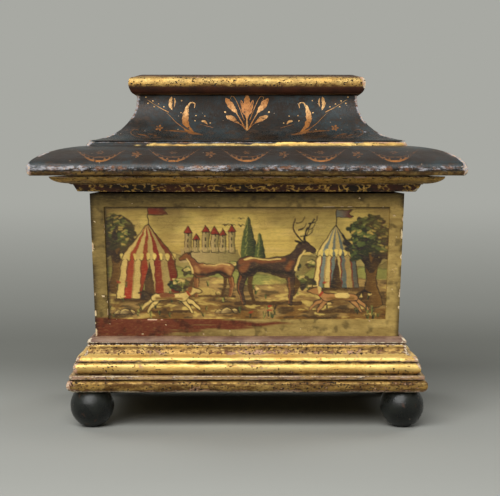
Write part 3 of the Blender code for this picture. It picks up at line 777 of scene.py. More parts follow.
def cornice_zones(up, outward, upward):
    fillet = (up > 20.9) & (outward > 0.1)
    below = 0.55 * smooth_step(up, 3.6, 1.8)
    nose = 0.62 * band(up, 3.2, 7.4, 1.2) * smooth_step(outward, 0.3, 0.7)
    return {
        "gilt": np.maximum(fillet, below), "bare": outward < -0.5, "rub": nose, "nook": band(up, 9, 20, 2),
        "fade": fillet * np.interp(up, (21.6, 23.4), (1.0, 1.7)),
        # Browned below the nose, where it turns down, as painted shade, and on the thumb's upper face.
        "browning": np.maximum(smooth_step(up, 6, 4), band(up, 10.5, 18.5, 1.5)),
    }


def cove_zones(up, outward, upward):
    hidden = (outward < -0.3) & (up > 0) | (upward < -0.9)
    split = 0.1 + 0.75 * smooth_step(up, 11, 18)
    # The upper cove is dull, darker paint in its nook: grime and painted shade under the rim.
    return {"bare": hidden, "arris": 0.0, "nook": smooth_step(up, 6, 16), "mitre": split}


def top_zones(up, outward, upward):
    browning = 0.62 + 0.38 * (1 - band(up, 7.8, 12.2, 1.2))
    return {"gilt": band(up, 6.0, 13.4, 0.9), "bare": upward < -0.9, "browning": browning}


def make_mouldings():
    plinth = moulding_material("gilded_plinth", violet)
    bead = moulding_material("violet_bead", violet)
    soffit = moulding_material("gilded_soffit", scrolled_band)
    dark = moulding_material("dark_lid", lacquer, LACQUER_GLOSS)
    rim = moulding_material("gilded_rim", top_paint, LACQUER_GLOSS)
    base = moulding_material("gilded_base", stained)
    # Node names' start, body, slot, material, zones, and how uneven the surface is
    kinds = (
        ("plinth", "case", "gilded_wood", plinth, plinth_zones, 1.6),
        ("bead", "case", "violet_paint", bead, bead_zones, 0.8),
        ("lid_soffit", "lid", "gilded_wood", soffit, soffit_zones, 0.7),
        ("lid_cornice", "lid", "dark_painted_wood", dark, cornice_zones, 0.8),
        ("lid_cove", "lid", "dark_painted_wood", dark, cove_zones, 0.5),
    )
    strips = {}
    for prefix, *kind in kinds:
        for quarters, side in enumerate(SIDES):
            node = f"{prefix}_{side}"
            strips[node] = moulding_piece(node, quarters, *kind)
    slab_piece("base_board", "case", "gilded_wood", base, base_zones, 1.0)
    slab_piece("lid_top", "lid", "gilded_wood", rim, top_zones, 0.6)
    return strips


# Gilt ornament on the lid

RELIEF = 0.11 * MM
RELIEF_EDGE = -0.02 * MM
LEAST_WIDTH = 0.10
RELIEF_PITCH = 8
RAGGED = 0.26
RAGGED_SIZE = 1.1
RAGGED_SEEDS = (21, 23)
COVE_LOWER = 2.3

# Where a spray's middle lies, its size along the cove, and how many swags lie to each side of the middle
LONG_ORNAMENT = (41.0, 1.0, 2)
SHORT_ORNAMENT = (29.0, 0.62, 1)

# Swags: how far apart, the lowest level, the rise at half a swag's width, and the finer line inside it
SWAG_PERIOD = 50.3
SWAG_LOW = 4.6
SWAG_HALF = 17
SWAG_RISE = 18
SWAG_POWER = 2.3
SWAG_INNER = 4.6
SWAG_INNER_FALL = 0.12
SWAG_LEAF = ((0, 0.3), (0.9, 1.9), (0.6, 3.4))

ORNAMENT_BROWN = linear(80, 54, 30)
ORNAMENT_ORANGE = linear(166, 106, 48)
ORNAMENT_PALE = linear(214, 170, 110)
ORNAMENT_RUBBED = linear(126, 76, 34)


def smooth_line(points, pieces=6, closed=False):
    """A rounder line through the same points."""
    points = np.asarray(points, float)
    ends = (points[-1:], points[:2]) if closed else (points[:1], points[-1:])
    padded = np.vstack((ends[0], points, ends[1]))
    shares = np.linspace(0, 1, pieces, endpoint=False)[:, None]
    line = []
    for before, start, stop, after in zip(padded, padded[1:], padded[2:], padded[3:]):
        line.append(
            start
            + 0.5 * shares * (stop - before)
            + shares**2 * (before - 2.5 * start + 2 * stop - 0.5 * after)
            + 0.5 * shares**3 * (3 * start - before - 3 * stop + after)
        )
    return np.vstack(line if closed else line + [points[-1:]])


# How wide a stroke is along its length

def blade(share):
    """Slender at the stalk, fullest past the middle, pointed."""
    return np.sin(math.pi * share**1.2) ** 0.8


def stalk(share):
    return 1 - 0.55 * share


def drop(share):
    return np.sqrt(np.clip(1 - (2 * share - 1) ** 2, 0, 1))


def garland(share):
    """Thin at both ends and thick in the middle."""
    return 0.35 + 0.65 * np.sin(math.pi * share) ** 2


# Strokes as a path, a width, a shape and tones. A palmette's side and a spray are drawn to the right
PALMETTE_MIDDLE = (
    (((-1.0, 3.5), (0, 5.5), (1.0, 8.0)), 3.0, drop, 0.05),
    (((0, 19.5), (0, 27), (0, 36)), 1.8, stalk, 0.8, 0.6),
    (((0, 30.0), (0, 41), (0, 49.6)), 5.4, blade, 0.6, 0.4),
)
PALMETTE_SIDE = (
    (((0.4, 36.0), (2.6, 39.8), (4.4, 45.6)), 3.2, blade, 0.5, 0.4),
    (((0.6, 34.0), (2.6, 36.4), (3.6, 39.6)), 2.0, blade, 0.5, 0.4),
    (((1.0, 21), (4.5, 30), (8.5, 37.5)), 1.2, stalk, 0.5, 0.8),
    (((7.0, 35.5), (11.4, 41.0), (15.4, 46.8)), 5.2, blade, 0.8, 0.45),
    (((9.2, 38.6), (12.5, 40.6), (13.6, 43.5)), 2.0, blade, 0.6),
    (((0.8, 20.5), (3.5, 25), (6.5, 27.5)), 0.8, stalk, 0.4, 0.6),
    (((5.6, 27.2), (10.5, 31.0), (15.2, 33.6)), 4.4, blade, 0.6, 0.8),
    (((2.0, 30), (5.5, 40), (9.0, 47), (11.0, 48.2), (12.0, 46.8), (11.2, 45.6)), 0.6, stalk, 0.6, 0.9),
)
PALMETTE_DOT = (15.8, 36.6, 1.4, 1.0)
SPRAY = (
    (((-10, 13.5), (-2, 16.5), (4, 21)), 3.8, blade, 0.15, 0.4),
    (((-3, 17.5), (2.5, 26), (3.4, 34), (1.8, 42)), 5.0, blade, 0.4, 1.0),
    (((2.2, 38), (0.2, 43.2), (-3.2, 43.0), (-3.0, 39.6)), 1.3, stalk, 0.9, 0.7),
    (((-4, 16.6), (7, 18.6), (18, 19.6)), 2.6, garland, 0.1, 0.2),
    (((2, 20), (9, 27), (14, 33), (17, 36)), 0.6, stalk, 0.5, 0.9),
    (((13, 38), (14.4, 42.5), (13.4, 48)), 3.0, blade, 0.9, 0.8),
    (((11.8, 40), (11.0, 44), (11.6, 47)), 1.3, blade, 0.8),
    (((15.6, 36.5), (23, 40.5), (31, 45.6)), 0.7, stalk, 0.7, 0.9),
    (((20, 9), (30, 8), (38, 11.5), (42, 17), (39.5, 21), (36, 19.5)), 1.2, stalk, 0.05, 0.2),
    (((28, 8.6), (32, 13), (37, 14.5)), 2.2, blade, 0.05, 0.15),
    (((22, 9), (25, 13.5), (30, 15.5)), 2.0, blade, 0.1),
    (((-12.6, 26.0), (-10.4, 28.8), (-8.0, 29.0)), 2.2, blade, 0.7, 0.9),
    (((-17, 22.5), (-12, 24.5), (-7, 26.5)), 0.5, stalk, 0.3, 0.6),
)
SPRIG_DOTS = ((19, 40.6), (23, 42.6), (27, 44.8), (30.5, 43.0), (32, 47.6), (26, 40.6))
LOOSE_DOTS = (
    (-10.6, 33.4), (-4.2, 33.8), (-3.6, 29.4), (6.6, 36.2), (-14.6, 27.4), (6.2, 45.0), (8.4, 20.8),
)
SPRAY_DOTS = ((1.1, 0.9, SPRIG_DOTS), (1.0, 1.0, LOOSE_DOTS))


class Relief:
    """Gilt strokes in low relief on a worn moulding.

    Places are millimetres along from the moulding's middle and up round its face from its outer edge.
    """

    def __init__(self, strip, lower=0.0):
        self.strip = strip
        self.lower = lower
        self.points = []
        self.faces = []
        self.tones = []
        self.count = 0

    def place(self, line, lift):
        """Points on the worn face, lifted off it."""
        strip = self.strip
        at = np.interp((line[:, 1] - self.lower) * MM, strip.profile.at, np.arange(len(strip.profile.at)))
        half = np.interp(at, np.arange(len(strip.half)), strip.half)
        row = np.interp(line[:, 0] * MM / half, strip.share, np.arange(len(strip.share)))
        low_row = np.minimum(row.astype(int), len(strip.share) - 2)
        low_column = np.minimum(at.astype(int), len(strip.half) - 2)
        result = 0.0
        for step_row, step_column in itertools.product((0, 1), repeat=2):
            weight_row = row - low_row if step_row else 1 - row + low_row
            weight_column = at - low_column if step_column else 1 - at + low_column
            spot = (low_row + step_row, low_column + step_column)
            lifted = strip.points[spot] + lift * strip.normals[spot]
            result = result + (weight_row * weight_column)[:, None] * lifted
        return result

    def stroke(self, path, width, shape, tone, tip_tone=None):
        """One stroke along a path, from a tone at its start to another at its tip, 0 brown and 1 pale."""
        line = smooth_line(path, RELIEF_PITCH)
        rows = len(line)
        share = np.linspace(0, 1, rows)
        way = np.gradient(line, axis=0)
        way /= np.linalg.norm(way, axis=1)[:, None]
        half = np.maximum(width / 2 * shape(share), LEAST_WIDTH / 2)
        aside = np.column_stack((-way[:, 1], way[:, 0]))
        flat = np.column_stack((line, np.zeros(rows)))
        left, right = (
            (half * (1 - RAGGED + 2 * RAGGED * noise(flat, RAGGED_SIZE, seed)))[:, None] * aside
            for seed in RAGGED_SEEDS
        )
        ring = (
            self.place(line + left, RELIEF_EDGE), self.place(line, -RELIEF),
            self.place(line - right, RELIEF_EDGE), self.place(line, RELIEF),
        )
        faces = grid_faces(rows, 4, True).tolist()
        faces += [[0, 1, 2, 3], [4 * rows - 1, 4 * rows - 2, 4 * rows - 3, 4 * rows - 4]]
        self.faces += [[corner + self.count for corner in face] for face in faces]
        self.points.append(np.stack(ring, axis=1).reshape(-1, 3))
        tones = tone + ((tone if tip_tone is None else tip_tone) - tone) * share**1.5
        self.tones.append(np.repeat(tones, 4))
        self.count += 4 * rows

    def draw(self, strokes, side=1, middle=0.0, size=1.0):
        """Strokes moved along from the middle, sized along it and mirrored to a side."""
        for path, *look in strokes:
            self.stroke([(side * (middle + size * along), up) for along, up in path], *look)

    def dot(self, along, up, size, tone):
        self.stroke([(along - size / 2, up), (along, up), (along + size / 2, up)], size, drop, tone)

    def flower(self, along, up, size, petals, tone):
        for angle in np.arange(petals) * math.tau / petals:
            way = np.array((math.cos(angle), 1.2 * math.sin(angle)))
            petal = [(along, up) + size * reach * way for reach in (0.12, 0.55, 1.0)]
            self.stroke(petal, 0.62 * size, blade, tone)

    def palmette(self):
        """The middle ornament of a cove: a three-lobed leaf between two pairs of side leaves and curls."""
        self.draw(PALMETTE_MIDDLE)
        for side in (-1, 1):
            self.draw(PALMETTE_SIDE, side)
            self.dot(side * PALMETTE_DOT[0], *PALMETTE_DOT[1:])

    def spray(self, side, middle, size):
        """A bold leaf on a tail, with a flower, a bud, a curl and dotted sprigs, reaching out to one side."""
        self.draw(SPRAY, side, middle, size)
        self.flower(side * (middle + 22 * size), 22.5, 2.9, 5, 0.3)
        for width, tone, places in SPRAY_DOTS:
            for along, up in places:
                self.dot(side * (middle + size * along), up, width, tone)

    def swag(self, middle):
        """A hanging garland, pale at its lowest, with leaves on it and a flower inside it."""
        def sag(along):
            return SWAG_LOW + SWAG_RISE * abs(along / SWAG_HALF) ** SWAG_POWER

        def inside(along):
            return sag(along) + SWAG_INNER - SWAG_INNER_FALL * along

        for side in (-1, 1):
            chain = [(middle + side * along, sag(along)) for along in np.linspace(18, -1.5, 9)]
            self.stroke(chain, 2.3, np.sqrt, 0.0, 0.5)
            for along in np.linspace(3, 13, 4):
                leaf = [(middle + side * (along + lean), sag(along) + rise) for lean, rise in SWAG_LEAF]
                self.stroke(leaf, 1.6, blade, 0.25, 0.1)
            inner = [(middle + side * along, inside(along)) for along in np.linspace(13, -1, 7)]
            self.stroke(inner, 1.1, np.sqrt, 0.0, 0.2)
        self.flower(middle, 16.5, 2.9, 6, 0.08)

    def pendant(self, middle):
        """A hanging flower between two swags."""
        self.flower(middle, 13.5, 3.8, 5, 0.18)
        self.dot(middle, 18.6, 1.4, 0.2)
        self.dot(middle, 8.8, 1.2, 0.2)

    def piece(self, name, quarters, material):
        points = turned(np.vstack(self.points), quarters)
        mesh = build_mesh(name, points.tolist(), self.faces, material, tone=np.concatenate(self.tones))
        add_piece(name, mesh, "lid", "gilded_wood")


def ornament_material():
    """Orange gilt, brown where it is thin and broken where it has worn off the dark paint."""
    graph = MaterialGraph("worn_gilt_ornament", GILT_GLOSS)
    tone = graph.attribute("tone")
    flake = graph.noise(101, 0.0016, 4, 0.7)
    colour = tone.step(0.0, 0.5).mix(ORNAMENT_BROWN, ORNAMENT_ORANGE)
    colour = tone.step(0.5, 1.0).mix(colour, ORNAMENT_PALE)
    colour = flake.step(0.42, 0.75).mix(colour, ORNAMENT_RUBBED)
    gone = (graph.noise(102, 0.0034, 5, 0.75) - tone * 0.14).step(0.49, 0.59)
    made = (colour, 0.25, flake.step(0.3, 0.7, 0.38, 0.55), flake)
    return graph.finish(over(made, gone, LACQUER, 0.0, 0.42, 0.0), 0.1 * MM)


def make_ornament(strips):
    material = ornament_material()
    for quarters, side in enumerate(SIDES):
        spray_middle, spray_size, reach = LONG_ORNAMENT if side in LONG_SIDES else SHORT_ORNAMENT
        cove = Relief(strips[f"lid_cove_{side}"], COVE_LOWER)
        cove.palmette()
        for hand in (-1, 1):
            cove.spray(hand, spray_middle, spray_size)
        cove.piece(f"lid_cove_{side}_gilt", quarters, material)
        thumb = Relief(strips[f"lid_cornice_{side}"])
        for index in range(-reach, reach + 1):
            thumb.swag(index * SWAG_PERIOD)
        for index in range(-reach, reach):
            thumb.pendant((index + 0.5) * SWAG_PERIOD)
        thumb.piece(f"lid_cornice_{side}_gilt", quarters, material)


# Painting

WOBBLE = 1.0
WOBBLE_SIZE = 2.6
SOFT = 0.32
INK = linear(36, 25, 16)
CREAM = linear(226, 190, 106)
VERMILION = linear(164, 54, 28)
RED_SHADE = linear(112, 36, 22)
STEEL = linear(120, 126, 108)
LEAF_DARK = linear(44, 48, 26)
LEAF = linear(84, 92, 42)
LEAF_LIGHT = linear(146, 142, 68)
EARTH = linear(120, 82, 32)
EARTH_DARK = linear(78, 52, 22)
EARTH_LIGHT = linear(172, 136, 74)
SKY = linear(230, 196, 100)
SKY_LOW = linear(200, 166, 80)
HILL = linear(136, 118, 62)
HILL_FAR = linear(162, 140, 76)
STONE = linear(188, 158, 98)
HIDE = linear(126, 72, 36)
HIDE_DARK = linear(66, 46, 32)
HIDE_LIGHT = linear(176, 122, 66)
COAL = linear(40, 34, 28)


def line_distance(x, y, path):
    """How far points are from a path, and how far along it the nearest place lies, from 0 to 1."""
    best = np.full(len(x), np.inf)
    spot = np.zeros(len(x))
    for index, (start, stop) in enumerate(zip(path, path[1:])):
        way = stop - start
        share = ((x - start[0]) * way[0] + (y - start[1]) * way[1]) / max((way**2).sum(), 1e-9)
        share = np.clip(share, 0, 1)
        apart = np.hypot(x - start[0] - share * way[0], y - start[1] - share * way[1])
        nearer = apart < best
        best = np.where(nearer, apart, best)
        spot = np.where(nearer, (index + share) / (len(path) - 1), spot)
    return best, spot


class Canvas:
    """Colours over loose points, laid on as a brush would. Places are millimetres from the foot's middle."""

    def __init__(self, spots, half, high, seed):
        self.x = spots[:, 0] + WOBBLE * (noise(spots, WOBBLE_SIZE, seed) - 0.5)
        self.y = spots[:, 1] + WOBBLE * (noise(spots, WOBBLE_SIZE, seed + 1) - 0.5)
        self.spots = spots
        self.half = half
        self.high = high
        self.colour = np.zeros((len(spots), 3))
        self.random = np.random.default_rng(seed)

    def lay(self, share, colour, where=slice(None)):
        share = np.clip(share, 0, 1)[:, None]
        self.colour[where] = self.colour[where] * (1 - share) + np.array(colour) * share

    def close_to(self, path, margin):
        """Which points lie near a path's box."""
        low, high = np.min(path, axis=0) - margin, np.max(path, axis=0) + margin
        return np.flatnonzero((self.x > low[0]) & (self.x < high[0]) & (self.y > low[1]) & (self.y < high[1]))

    def stroke(self, path, width, colour, taper=0.0, soft=SOFT):
        """A brush stroke that may grow thinner towards its end."""
        path = np.asarray(path, float)
        where = self.close_to(path, width)
        apart, along = line_distance(self.x[where], self.y[where], path)
        half = width / 2 * (1 - taper * along)
        self.lay(smooth_step(half - apart, -soft, soft), colour, where)

    def shape(self, outline, colour, far_colour=None, soft=SOFT):
        """A filled outline, which may run from one colour on its left to another on its right."""
        outline = np.asarray(outline, float)
        where = self.close_to(outline, 2 * soft)
        x, y = self.x[where], self.y[where]
        ring = np.vstack((outline, outline[:1]))
        inside = np.zeros(len(x), bool)
        for (x0, y0), (x1, y1) in zip(ring, ring[1:]):
            crosses = (y0 > y) != (y1 > y)
            inside ^= crosses & (x < (x1 - x0) * (y - y0) / ((y1 - y0) or 1.0) + x0)
        apart = line_distance(x, y, ring)[0] * np.where(inside, 1, -1)
        share = smooth_step(apart, -soft, soft)
        self.lay(share, colour, where)
        if far_colour is not None:
            self.lay(share * smooth_step(x, outline[:, 0].min(), outline[:, 0].max()), far_colour, where)

    def outlined(self, outline, colour, far_colour, line=0.7):
        """A filled outline with a dark line drawn round it."""
        self.shape(outline, colour, far_colour)
        self.stroke(np.vstack((outline, outline[:1])), line, INK)

    def dabs(self, centre, spread, count, size, *colours):
        """Small touches of several colours, thrown round a place."""
        for _ in range(count):
            angle = self.random.uniform(0, math.tau)
            reach = self.random.uniform(0, 1) ** 0.6
            x = centre[0] + spread[0] * reach * math.cos(angle)
            y = centre[1] + spread[1] * reach * math.sin(angle)
            tilt = self.random.uniform(-0.6, 0.6)
            long = size * self.random.uniform(0.5, 1.1)
            colour = colours[self.random.integers(len(colours))]
            self.stroke([(x - long, y - long * tilt), (x + long, y + long * tilt)], size, colour, 0.3, 0.5)


class Figure:
    """Draws on a canvas at unit size from a foot point, so wide and high. A width under 0 mirrors it."""

    def __init__(self, canvas, foot, wide, high):
        self.canvas = canvas
        self.foot = foot
        self.scale = (wide, high)

    def at(self, points):
        return np.asarray(points, float) * self.scale + self.foot

    def curve(self, points, pieces=6, closed=False):
        return smooth_line(self.at(points), pieces, closed)

    def straight(self, points, width, *look):
        self.canvas.stroke(self.at(points), width * self.scale[1], *look)

    def stroke(self, points, width, *look):
        self.canvas.stroke(self.curve(points), width * self.scale[1], *look)


UNDERFOOT = ((-0.6, 0.0), (0.5, 0.0))
DEER_BODY = (
    (-0.52, 0.79), (-0.59, 0.70), (-0.56, 0.57), (-0.49, 0.46), (-0.34, 0.48), (-0.20, 0.56), (0.02, 0.51),
    (0.25, 0.45), (0.40, 0.51), (0.46, 0.63), (0.51, 0.80), (0.59, 0.90), (0.73, 0.88), (0.77, 0.93),
    (0.68, 1.01), (0.60, 1.07), (0.50, 1.05), (0.42, 0.95), (0.32, 0.84), (0.18, 0.81), (-0.14, 0.77),
    (-0.38, 0.81),
)
DEER_FAR_LEGS = (((0.28, 0.52), (0.46, 0.36), (0.40, 0.14)), ((-0.36, 0.56), (-0.36, 0.28), (-0.28, 0.0)))
DEER_NEAR_LEGS = (((0.32, 0.56), (0.35, 0.26), (0.34, 0.0)), ((-0.44, 0.62), (-0.53, 0.29), (-0.46, 0.0)))
HOUND_BODY = (
    (-0.50, 0.40), (-0.30, 0.47), (0.10, 0.46), (0.34, 0.50), (0.48, 0.62), (0.62, 0.60), (0.76, 0.52),
    (0.62, 0.47), (0.46, 0.40), (0.30, 0.26), (0.02, 0.32), (-0.30, 0.27), (-0.50, 0.29),
)
HOUND_LEGS = (
    ((0.32, 0.32), (0.56, 0.20), (0.70, 0.06)), ((0.26, 0.30), (0.42, 0.13), (0.50, 0.0)),
    ((-0.42, 0.34), (-0.64, 0.20), (-0.78, 0.05)), ((-0.36, 0.30), (-0.52, 0.13), (-0.60, 0.0)),
)
TOWER_PITCH = 6.2
MERLON_PITCH = 2.1
EAVES = 0.56
EAVES_HALF = 0.40
TENT = ((0, 1.0), (-EAVES_HALF, EAVES), (-0.5, 0.0), (0.5, 0.0), (EAVES_HALF, EAVES), (0, 1.0))
TENT_FLAP = ((0.02, EAVES - 0.06), (-0.13, 0.0), (0.13, 0.0))
TENT_BAYS = 8
FLAG = ((0, 1.0), (0.5, 0.92), (1.0, 1.0), (0.78, 0.74), (1.0, 0.48), (0.5, 0.44), (0, 0.48))
TRUNK = ((-0.10, 0.0), (-0.05, 0.25), (-0.07, 0.5), (0.07, 0.5), (0.05, 0.25), (0.12, 0.0))
CYPRESS = (
    (0, 0), (-0.13, 0.12), (-0.15, 0.4), (-0.08, 0.75), (0, 1), (0.08, 0.75), (0.15, 0.4), (0.13, 0.12),
)
ROCK = ((-0.8, 0.0), (-0.6, 0.45), (-0.1, 0.75), (0.5, 0.5), (0.8, 0.05))
ROCK_LIGHT = ((-0.45, 0.4), (-0.05, 0.62), (0.3, 0.5))

# Leaves in layers: the shift in millimetres, the spread as shares, how many, how large, and the colours.
# A bush's shift upwards is a share too
OAK_LEAVES = (
    ((0, 0), 0.42, 0.20, 22, 3.4, LEAF_DARK, COAL),
    ((-1, 2), 0.34, 0.17, 16, 2.2, LEAF, LEAF_DARK),
    ((-2, 4), 0.32, 0.15, 16, 1.2, LEAF_LIGHT, LEAF, SKY_LOW),
)
BUSH_LEAVES = (
    ((0, 0.3), 1.0, 0.5, 30, 2.4, LEAF_DARK, COAL),
    ((-1, 0.5), 0.8, 0.4, 20, 1.6, LEAF, LEAF_DARK),
    ((-2, 0.7), 0.7, 0.3, 14, 1.0, LEAF_LIGHT, CREAM),
)

# Hills from far to near: their level as a share of the height, their swing and size, and their colour
HILLS = (
    (0.60, 7, 30.0, HILL_FAR), (0.52, 8, 22.0, HILL),
    (0.42, 5, 17.0, LEAF_LIGHT), (0.33, 4, 26.0, EARTH_LIGHT),
)


def paint_deer(canvas, foot, size, coat, light, facing=1, antlers=True):
    deer = Figure(canvas, foot, facing * size, size)
    deer.straight(UNDERFOOT, 0.07, EARTH_DARK)
    for leg in DEER_FAR_LEGS:
        deer.stroke(leg, 0.12, EARTH_DARK, 0.6)
    for leg in DEER_NEAR_LEGS:
        deer.stroke(leg, 0.19, INK, 0.68)
        deer.stroke(leg, 0.15, coat, 0.72)
        deer.stroke([(x - 0.03, y) for x, y in leg], 0.03, light, 0.5)
    canvas.outlined(deer.curve(DEER_BODY, 5, True), coat, coat)
    deer.stroke(((-0.44, 0.52), (-0.18, 0.60), (0.10, 0.54), (0.36, 0.54)), 0.10, INK, 0.4, 1.2)
    deer.stroke(((-0.52, 0.72), (-0.34, 0.76), (-0.10, 0.73), (0.22, 0.76)), 0.09, light, 0.4, 1.2)
    deer.stroke(((-0.46, 0.76), (-0.30, 0.79), (-0.10, 0.755), (0.16, 0.78)), 0.025, CREAM, 0.4)
    deer.stroke(((-0.48, 0.60), (-0.40, 0.68)), 0.12, light, 0.4, 1.4)
    deer.stroke(((0.30, 0.62), (0.36, 0.72)), 0.10, light, 0.4, 1.4)
    deer.stroke(((0.43, 0.58), (0.48, 0.76), (0.58, 0.92)), 0.05, CREAM, 0.5)
    deer.stroke(((0.52, 1.05), (0.42, 1.09)), 0.06, INK, 0.6)
    for lean in (-0.10, 0.10) if antlers else ():
        beam = ((0.58, 1.06), (0.50 + lean, 1.24), (0.58 + 1.7 * lean, 1.46))
        canvas.stroke(deer.curve(beam), 1.5, INK, 0.4)
        for height in (0.25, 0.55, 0.85):
            root = np.array((0.55 + 1.3 * lean * height, 1.08 + 0.36 * height))
            canvas.stroke(deer.curve((root, root + (0.10, 0.03), root + (0.14, 0.12))), 1.0, INK, 0.5)


def paint_hound(canvas, foot, size, coat, patch, facing=1):
    hound = Figure(canvas, foot, facing * size, size)
    hound.straight(UNDERFOOT, 0.07, EARTH_DARK)
    for leg in HOUND_LEGS:
        hound.stroke(leg, 0.16, INK, 0.55)
        hound.stroke(leg, 0.10, coat, 0.6)
    hound.stroke(((-0.48, 0.38), (-0.68, 0.52), (-0.84, 0.48)), 0.09, INK, 0.5)
    canvas.outlined(hound.curve(HOUND_BODY, 5, True), coat, coat)
    hound.straight(((-0.40, 0.33), (0.24, 0.34)), 0.08, EARTH, 0.3, 1.0)
    hound.straight(((-0.24, 0.42), (0.02, 0.41)), 0.14, patch, 0.3)
    hound.straight(((0.46, 0.60), (0.44, 0.50)), 0.10, patch, 0.3)
    hound.straight(((0.38, 0.50), (0.44, 0.42)), 0.06, VERMILION)


def paint_tent(canvas, foot, wide, high, stripe, ground):
    """A bell tent in stripes, with a gilt valance, an open flap and a pennant."""
    tent = Figure(canvas, foot, wide, high)
    shadow = tent.at(((-0.5, 0.0), (0.62, 0.0))) - (0, 0.8)
    canvas.stroke(shadow, 4.0, EARTH_DARK, 0.2, 1.6)
    edges = np.linspace(-1, 1, TENT_BAYS + 1)
    eaves = [(EAVES_HALF * edge, EAVES) for edge in edges]
    foots = [(0.5 * edge, 0.0) for edge in edges]
    for index in range(TENT_BAYS):
        bay = tent.at(((0, 1.0), eaves[index], foots[index], foots[index + 1], eaves[index + 1]))
        canvas.shape(bay, np.array(stripe if index % 2 else ground) * (1.05 - 0.09 * index))
        canvas.stroke(bay[1:3], 1.1, RED_SHADE if index % 2 else EARTH_LIGHT, 0.3)
    for x, y in tent.at(eaves):
        canvas.stroke([(x, y + 1.0), (x, y - 2.2)], 2.6, SKY, 0.6)
        canvas.stroke([(x - 1.3, y - 1.8), (x, y - 3.0), (x + 1.3, y - 1.8)], 0.5, INK)
    canvas.stroke(tent.at(TENT), 0.7, INK)
    canvas.shape(tent.at(TENT_FLAP), COAL, EARTH_DARK)
    paint_banner(canvas, (foot[0], foot[1] + high), 0.24 * high, stripe)


def paint_banner(canvas, foot, high, colour):
    """A pole with a swallow-tailed flag."""
    x, y = foot
    canvas.stroke([(x, y - 1), (x, y + high)], 0.8, INK)
    canvas.outlined(Figure(canvas, foot, 1.1 * high, high).at(FLAG), colour, RED_SHADE, 0.5)


def paint_oak(canvas, foot, high, spread):
    oak = Figure(canvas, foot, high, high)
    canvas.outlined(oak.curve(TRUNK, 4, True), EARTH_DARK, EARTH)
    for lean in (-0.30, -0.12, 0.14, 0.32):
        oak.stroke(((0.0, 0.36), (0.5 * lean, 0.55), (lean, 0.72)), 0.06, INK, 0.7)
    for share in np.linspace(-1, 1, 7):
        middle = np.array((foot[0] + 0.72 * spread * share, foot[1] + high * (0.74 - 0.10 * share**2)))
        for shift, across, tall, *look in OAK_LEAVES:
            canvas.dabs(middle + shift, (across * spread, tall * high), *look)


def paint_bush(canvas, foot, wide):
    for (shift, rise), across, tall, *look in BUSH_LEAVES:
        canvas.dabs((foot[0] + shift, foot[1] + rise * wide), (across * wide, tall * wide), *look)


def paint_birds(canvas, foot, count):
    """A loose flight of birds, each two strokes."""
    for _ in range(count):
        x = foot[0] + canvas.random.uniform(-14, 14)
        y = foot[1] + canvas.random.uniform(-5, 5)
        for side in (-1, 1):
            canvas.stroke([(x, y), (x + 1.2 * side, y + 0.9), (x + 2.4 * side, y + 0.5)], 0.7, INK, 0.5)


def paint_cypress(canvas, foot, high):
    cypress = Figure(canvas, foot, high, high)
    canvas.shape(cypress.curve(CYPRESS, 5, True), LEAF, LEAF_DARK)
    for share in np.linspace(0.15, 0.85, 7):
        mark = ((-0.09 * (1 - 0.7 * share), share), (-0.02, share + 0.10))
        canvas.stroke(cypress.at(mark), 0.8, LEAF_LIGHT, 0.6)


def paint_tower(canvas, foot, wide, high):
    tower = Figure(canvas, foot, wide, high)
    canvas.outlined(tower.at(((0, 0), (0, 1), (1, 1), (1, 0))), STONE, HILL, 0.5)
    roof = tower.at(((-0.15, 1), (0.5, 1), (1.15, 1)))
    roof[1, 1] += 1.1 * wide
    canvas.outlined(roof, VERMILION, RED_SHADE, 0.5)
    for level in np.arange(0.3, 0.9, 0.3):
        window = tower.at((0.5, level))
        canvas.stroke((window, window + (0, 1.6)), 0.9, INK)


def paint_town(canvas, foot, count):
    """A walled town on a rise."""
    x, y = foot
    wide = TOWER_PITCH * count
    canvas.shape([(x - 4, y - 5), (x - 2, y + 4), (x + wide, y + 4), (x + wide + 4, y - 5)], STONE, HILL)
    for index in range(count):
        high = canvas.random.uniform(7, 15)
        paint_tower(canvas, (x + TOWER_PITCH * index, y + 2), canvas.random.uniform(4, 5.4), high)
    for index in range(3 * count):
        merlon = x - 2 + MERLON_PITCH * index
        canvas.stroke([(merlon, y + 4), (merlon, y + 5.2)], 1.1, STONE)


def paint_bridge(canvas, foot, wide, arches):
    x, y = foot
    top = smooth_line([(x, y + 7), (x + wide / 2, y + 11), (x + wide, y + 7)])
    canvas.outlined(np.vstack((top, [(x + wide, y), (x, y)])), STONE, EARTH_LIGHT, 0.6)
    bay = wide / arches
    for index in range(arches):
        middle = x + bay * (index + 0.5)
        arch = [(middle - 0.34 * bay, y - 0.5), (middle - 0.26 * bay, y + 4.5), (middle, y + 6.2)]
        arch += [(2 * middle - px, py) for px, py in arch[1::-1]]
        canvas.outlined(smooth_line(arch, 4), EARTH_DARK, COAL, 0.5)


def paint_rocks(canvas, foot, size):
    """A few boulders with lit tops."""
    for along, scale in ((-0.9, 0.7), (0.8, 0.8), (0.0, 1.0)):
        rock = Figure(canvas, (foot[0] + size * along, foot[1]), size * scale, size * scale)
        canvas.outlined(rock.curve(ROCK, 4), STONE, EARTH_DARK, 0.6)
        canvas.stroke(rock.at(ROCK_LIGHT), 0.9, CREAM, 0.5)


def paint_tufts(canvas, count, low, high):
    """Grass and small flowers."""
    for _ in range(count):
        x = canvas.random.uniform(-canvas.half, canvas.half)
        y = canvas.random.uniform(low, high)
        tall = canvas.random.uniform(2.0, 4.5)
        for lean in canvas.random.uniform(-1.6, 1.6, 5):
            colour = (LEAF_DARK, LEAF, INK, LEAF_LIGHT)[canvas.random.integers(4)]
            canvas.stroke([(x, y), (x + lean, y + tall)], 0.8, colour, 0.7)
        if canvas.random.uniform() < 0.3:
            colour = (VERMILION, CREAM)[canvas.random.integers(2)]
            canvas.dabs((x + 1.0, y + tall), (0.8, 0.5), 3, 0.9, colour)


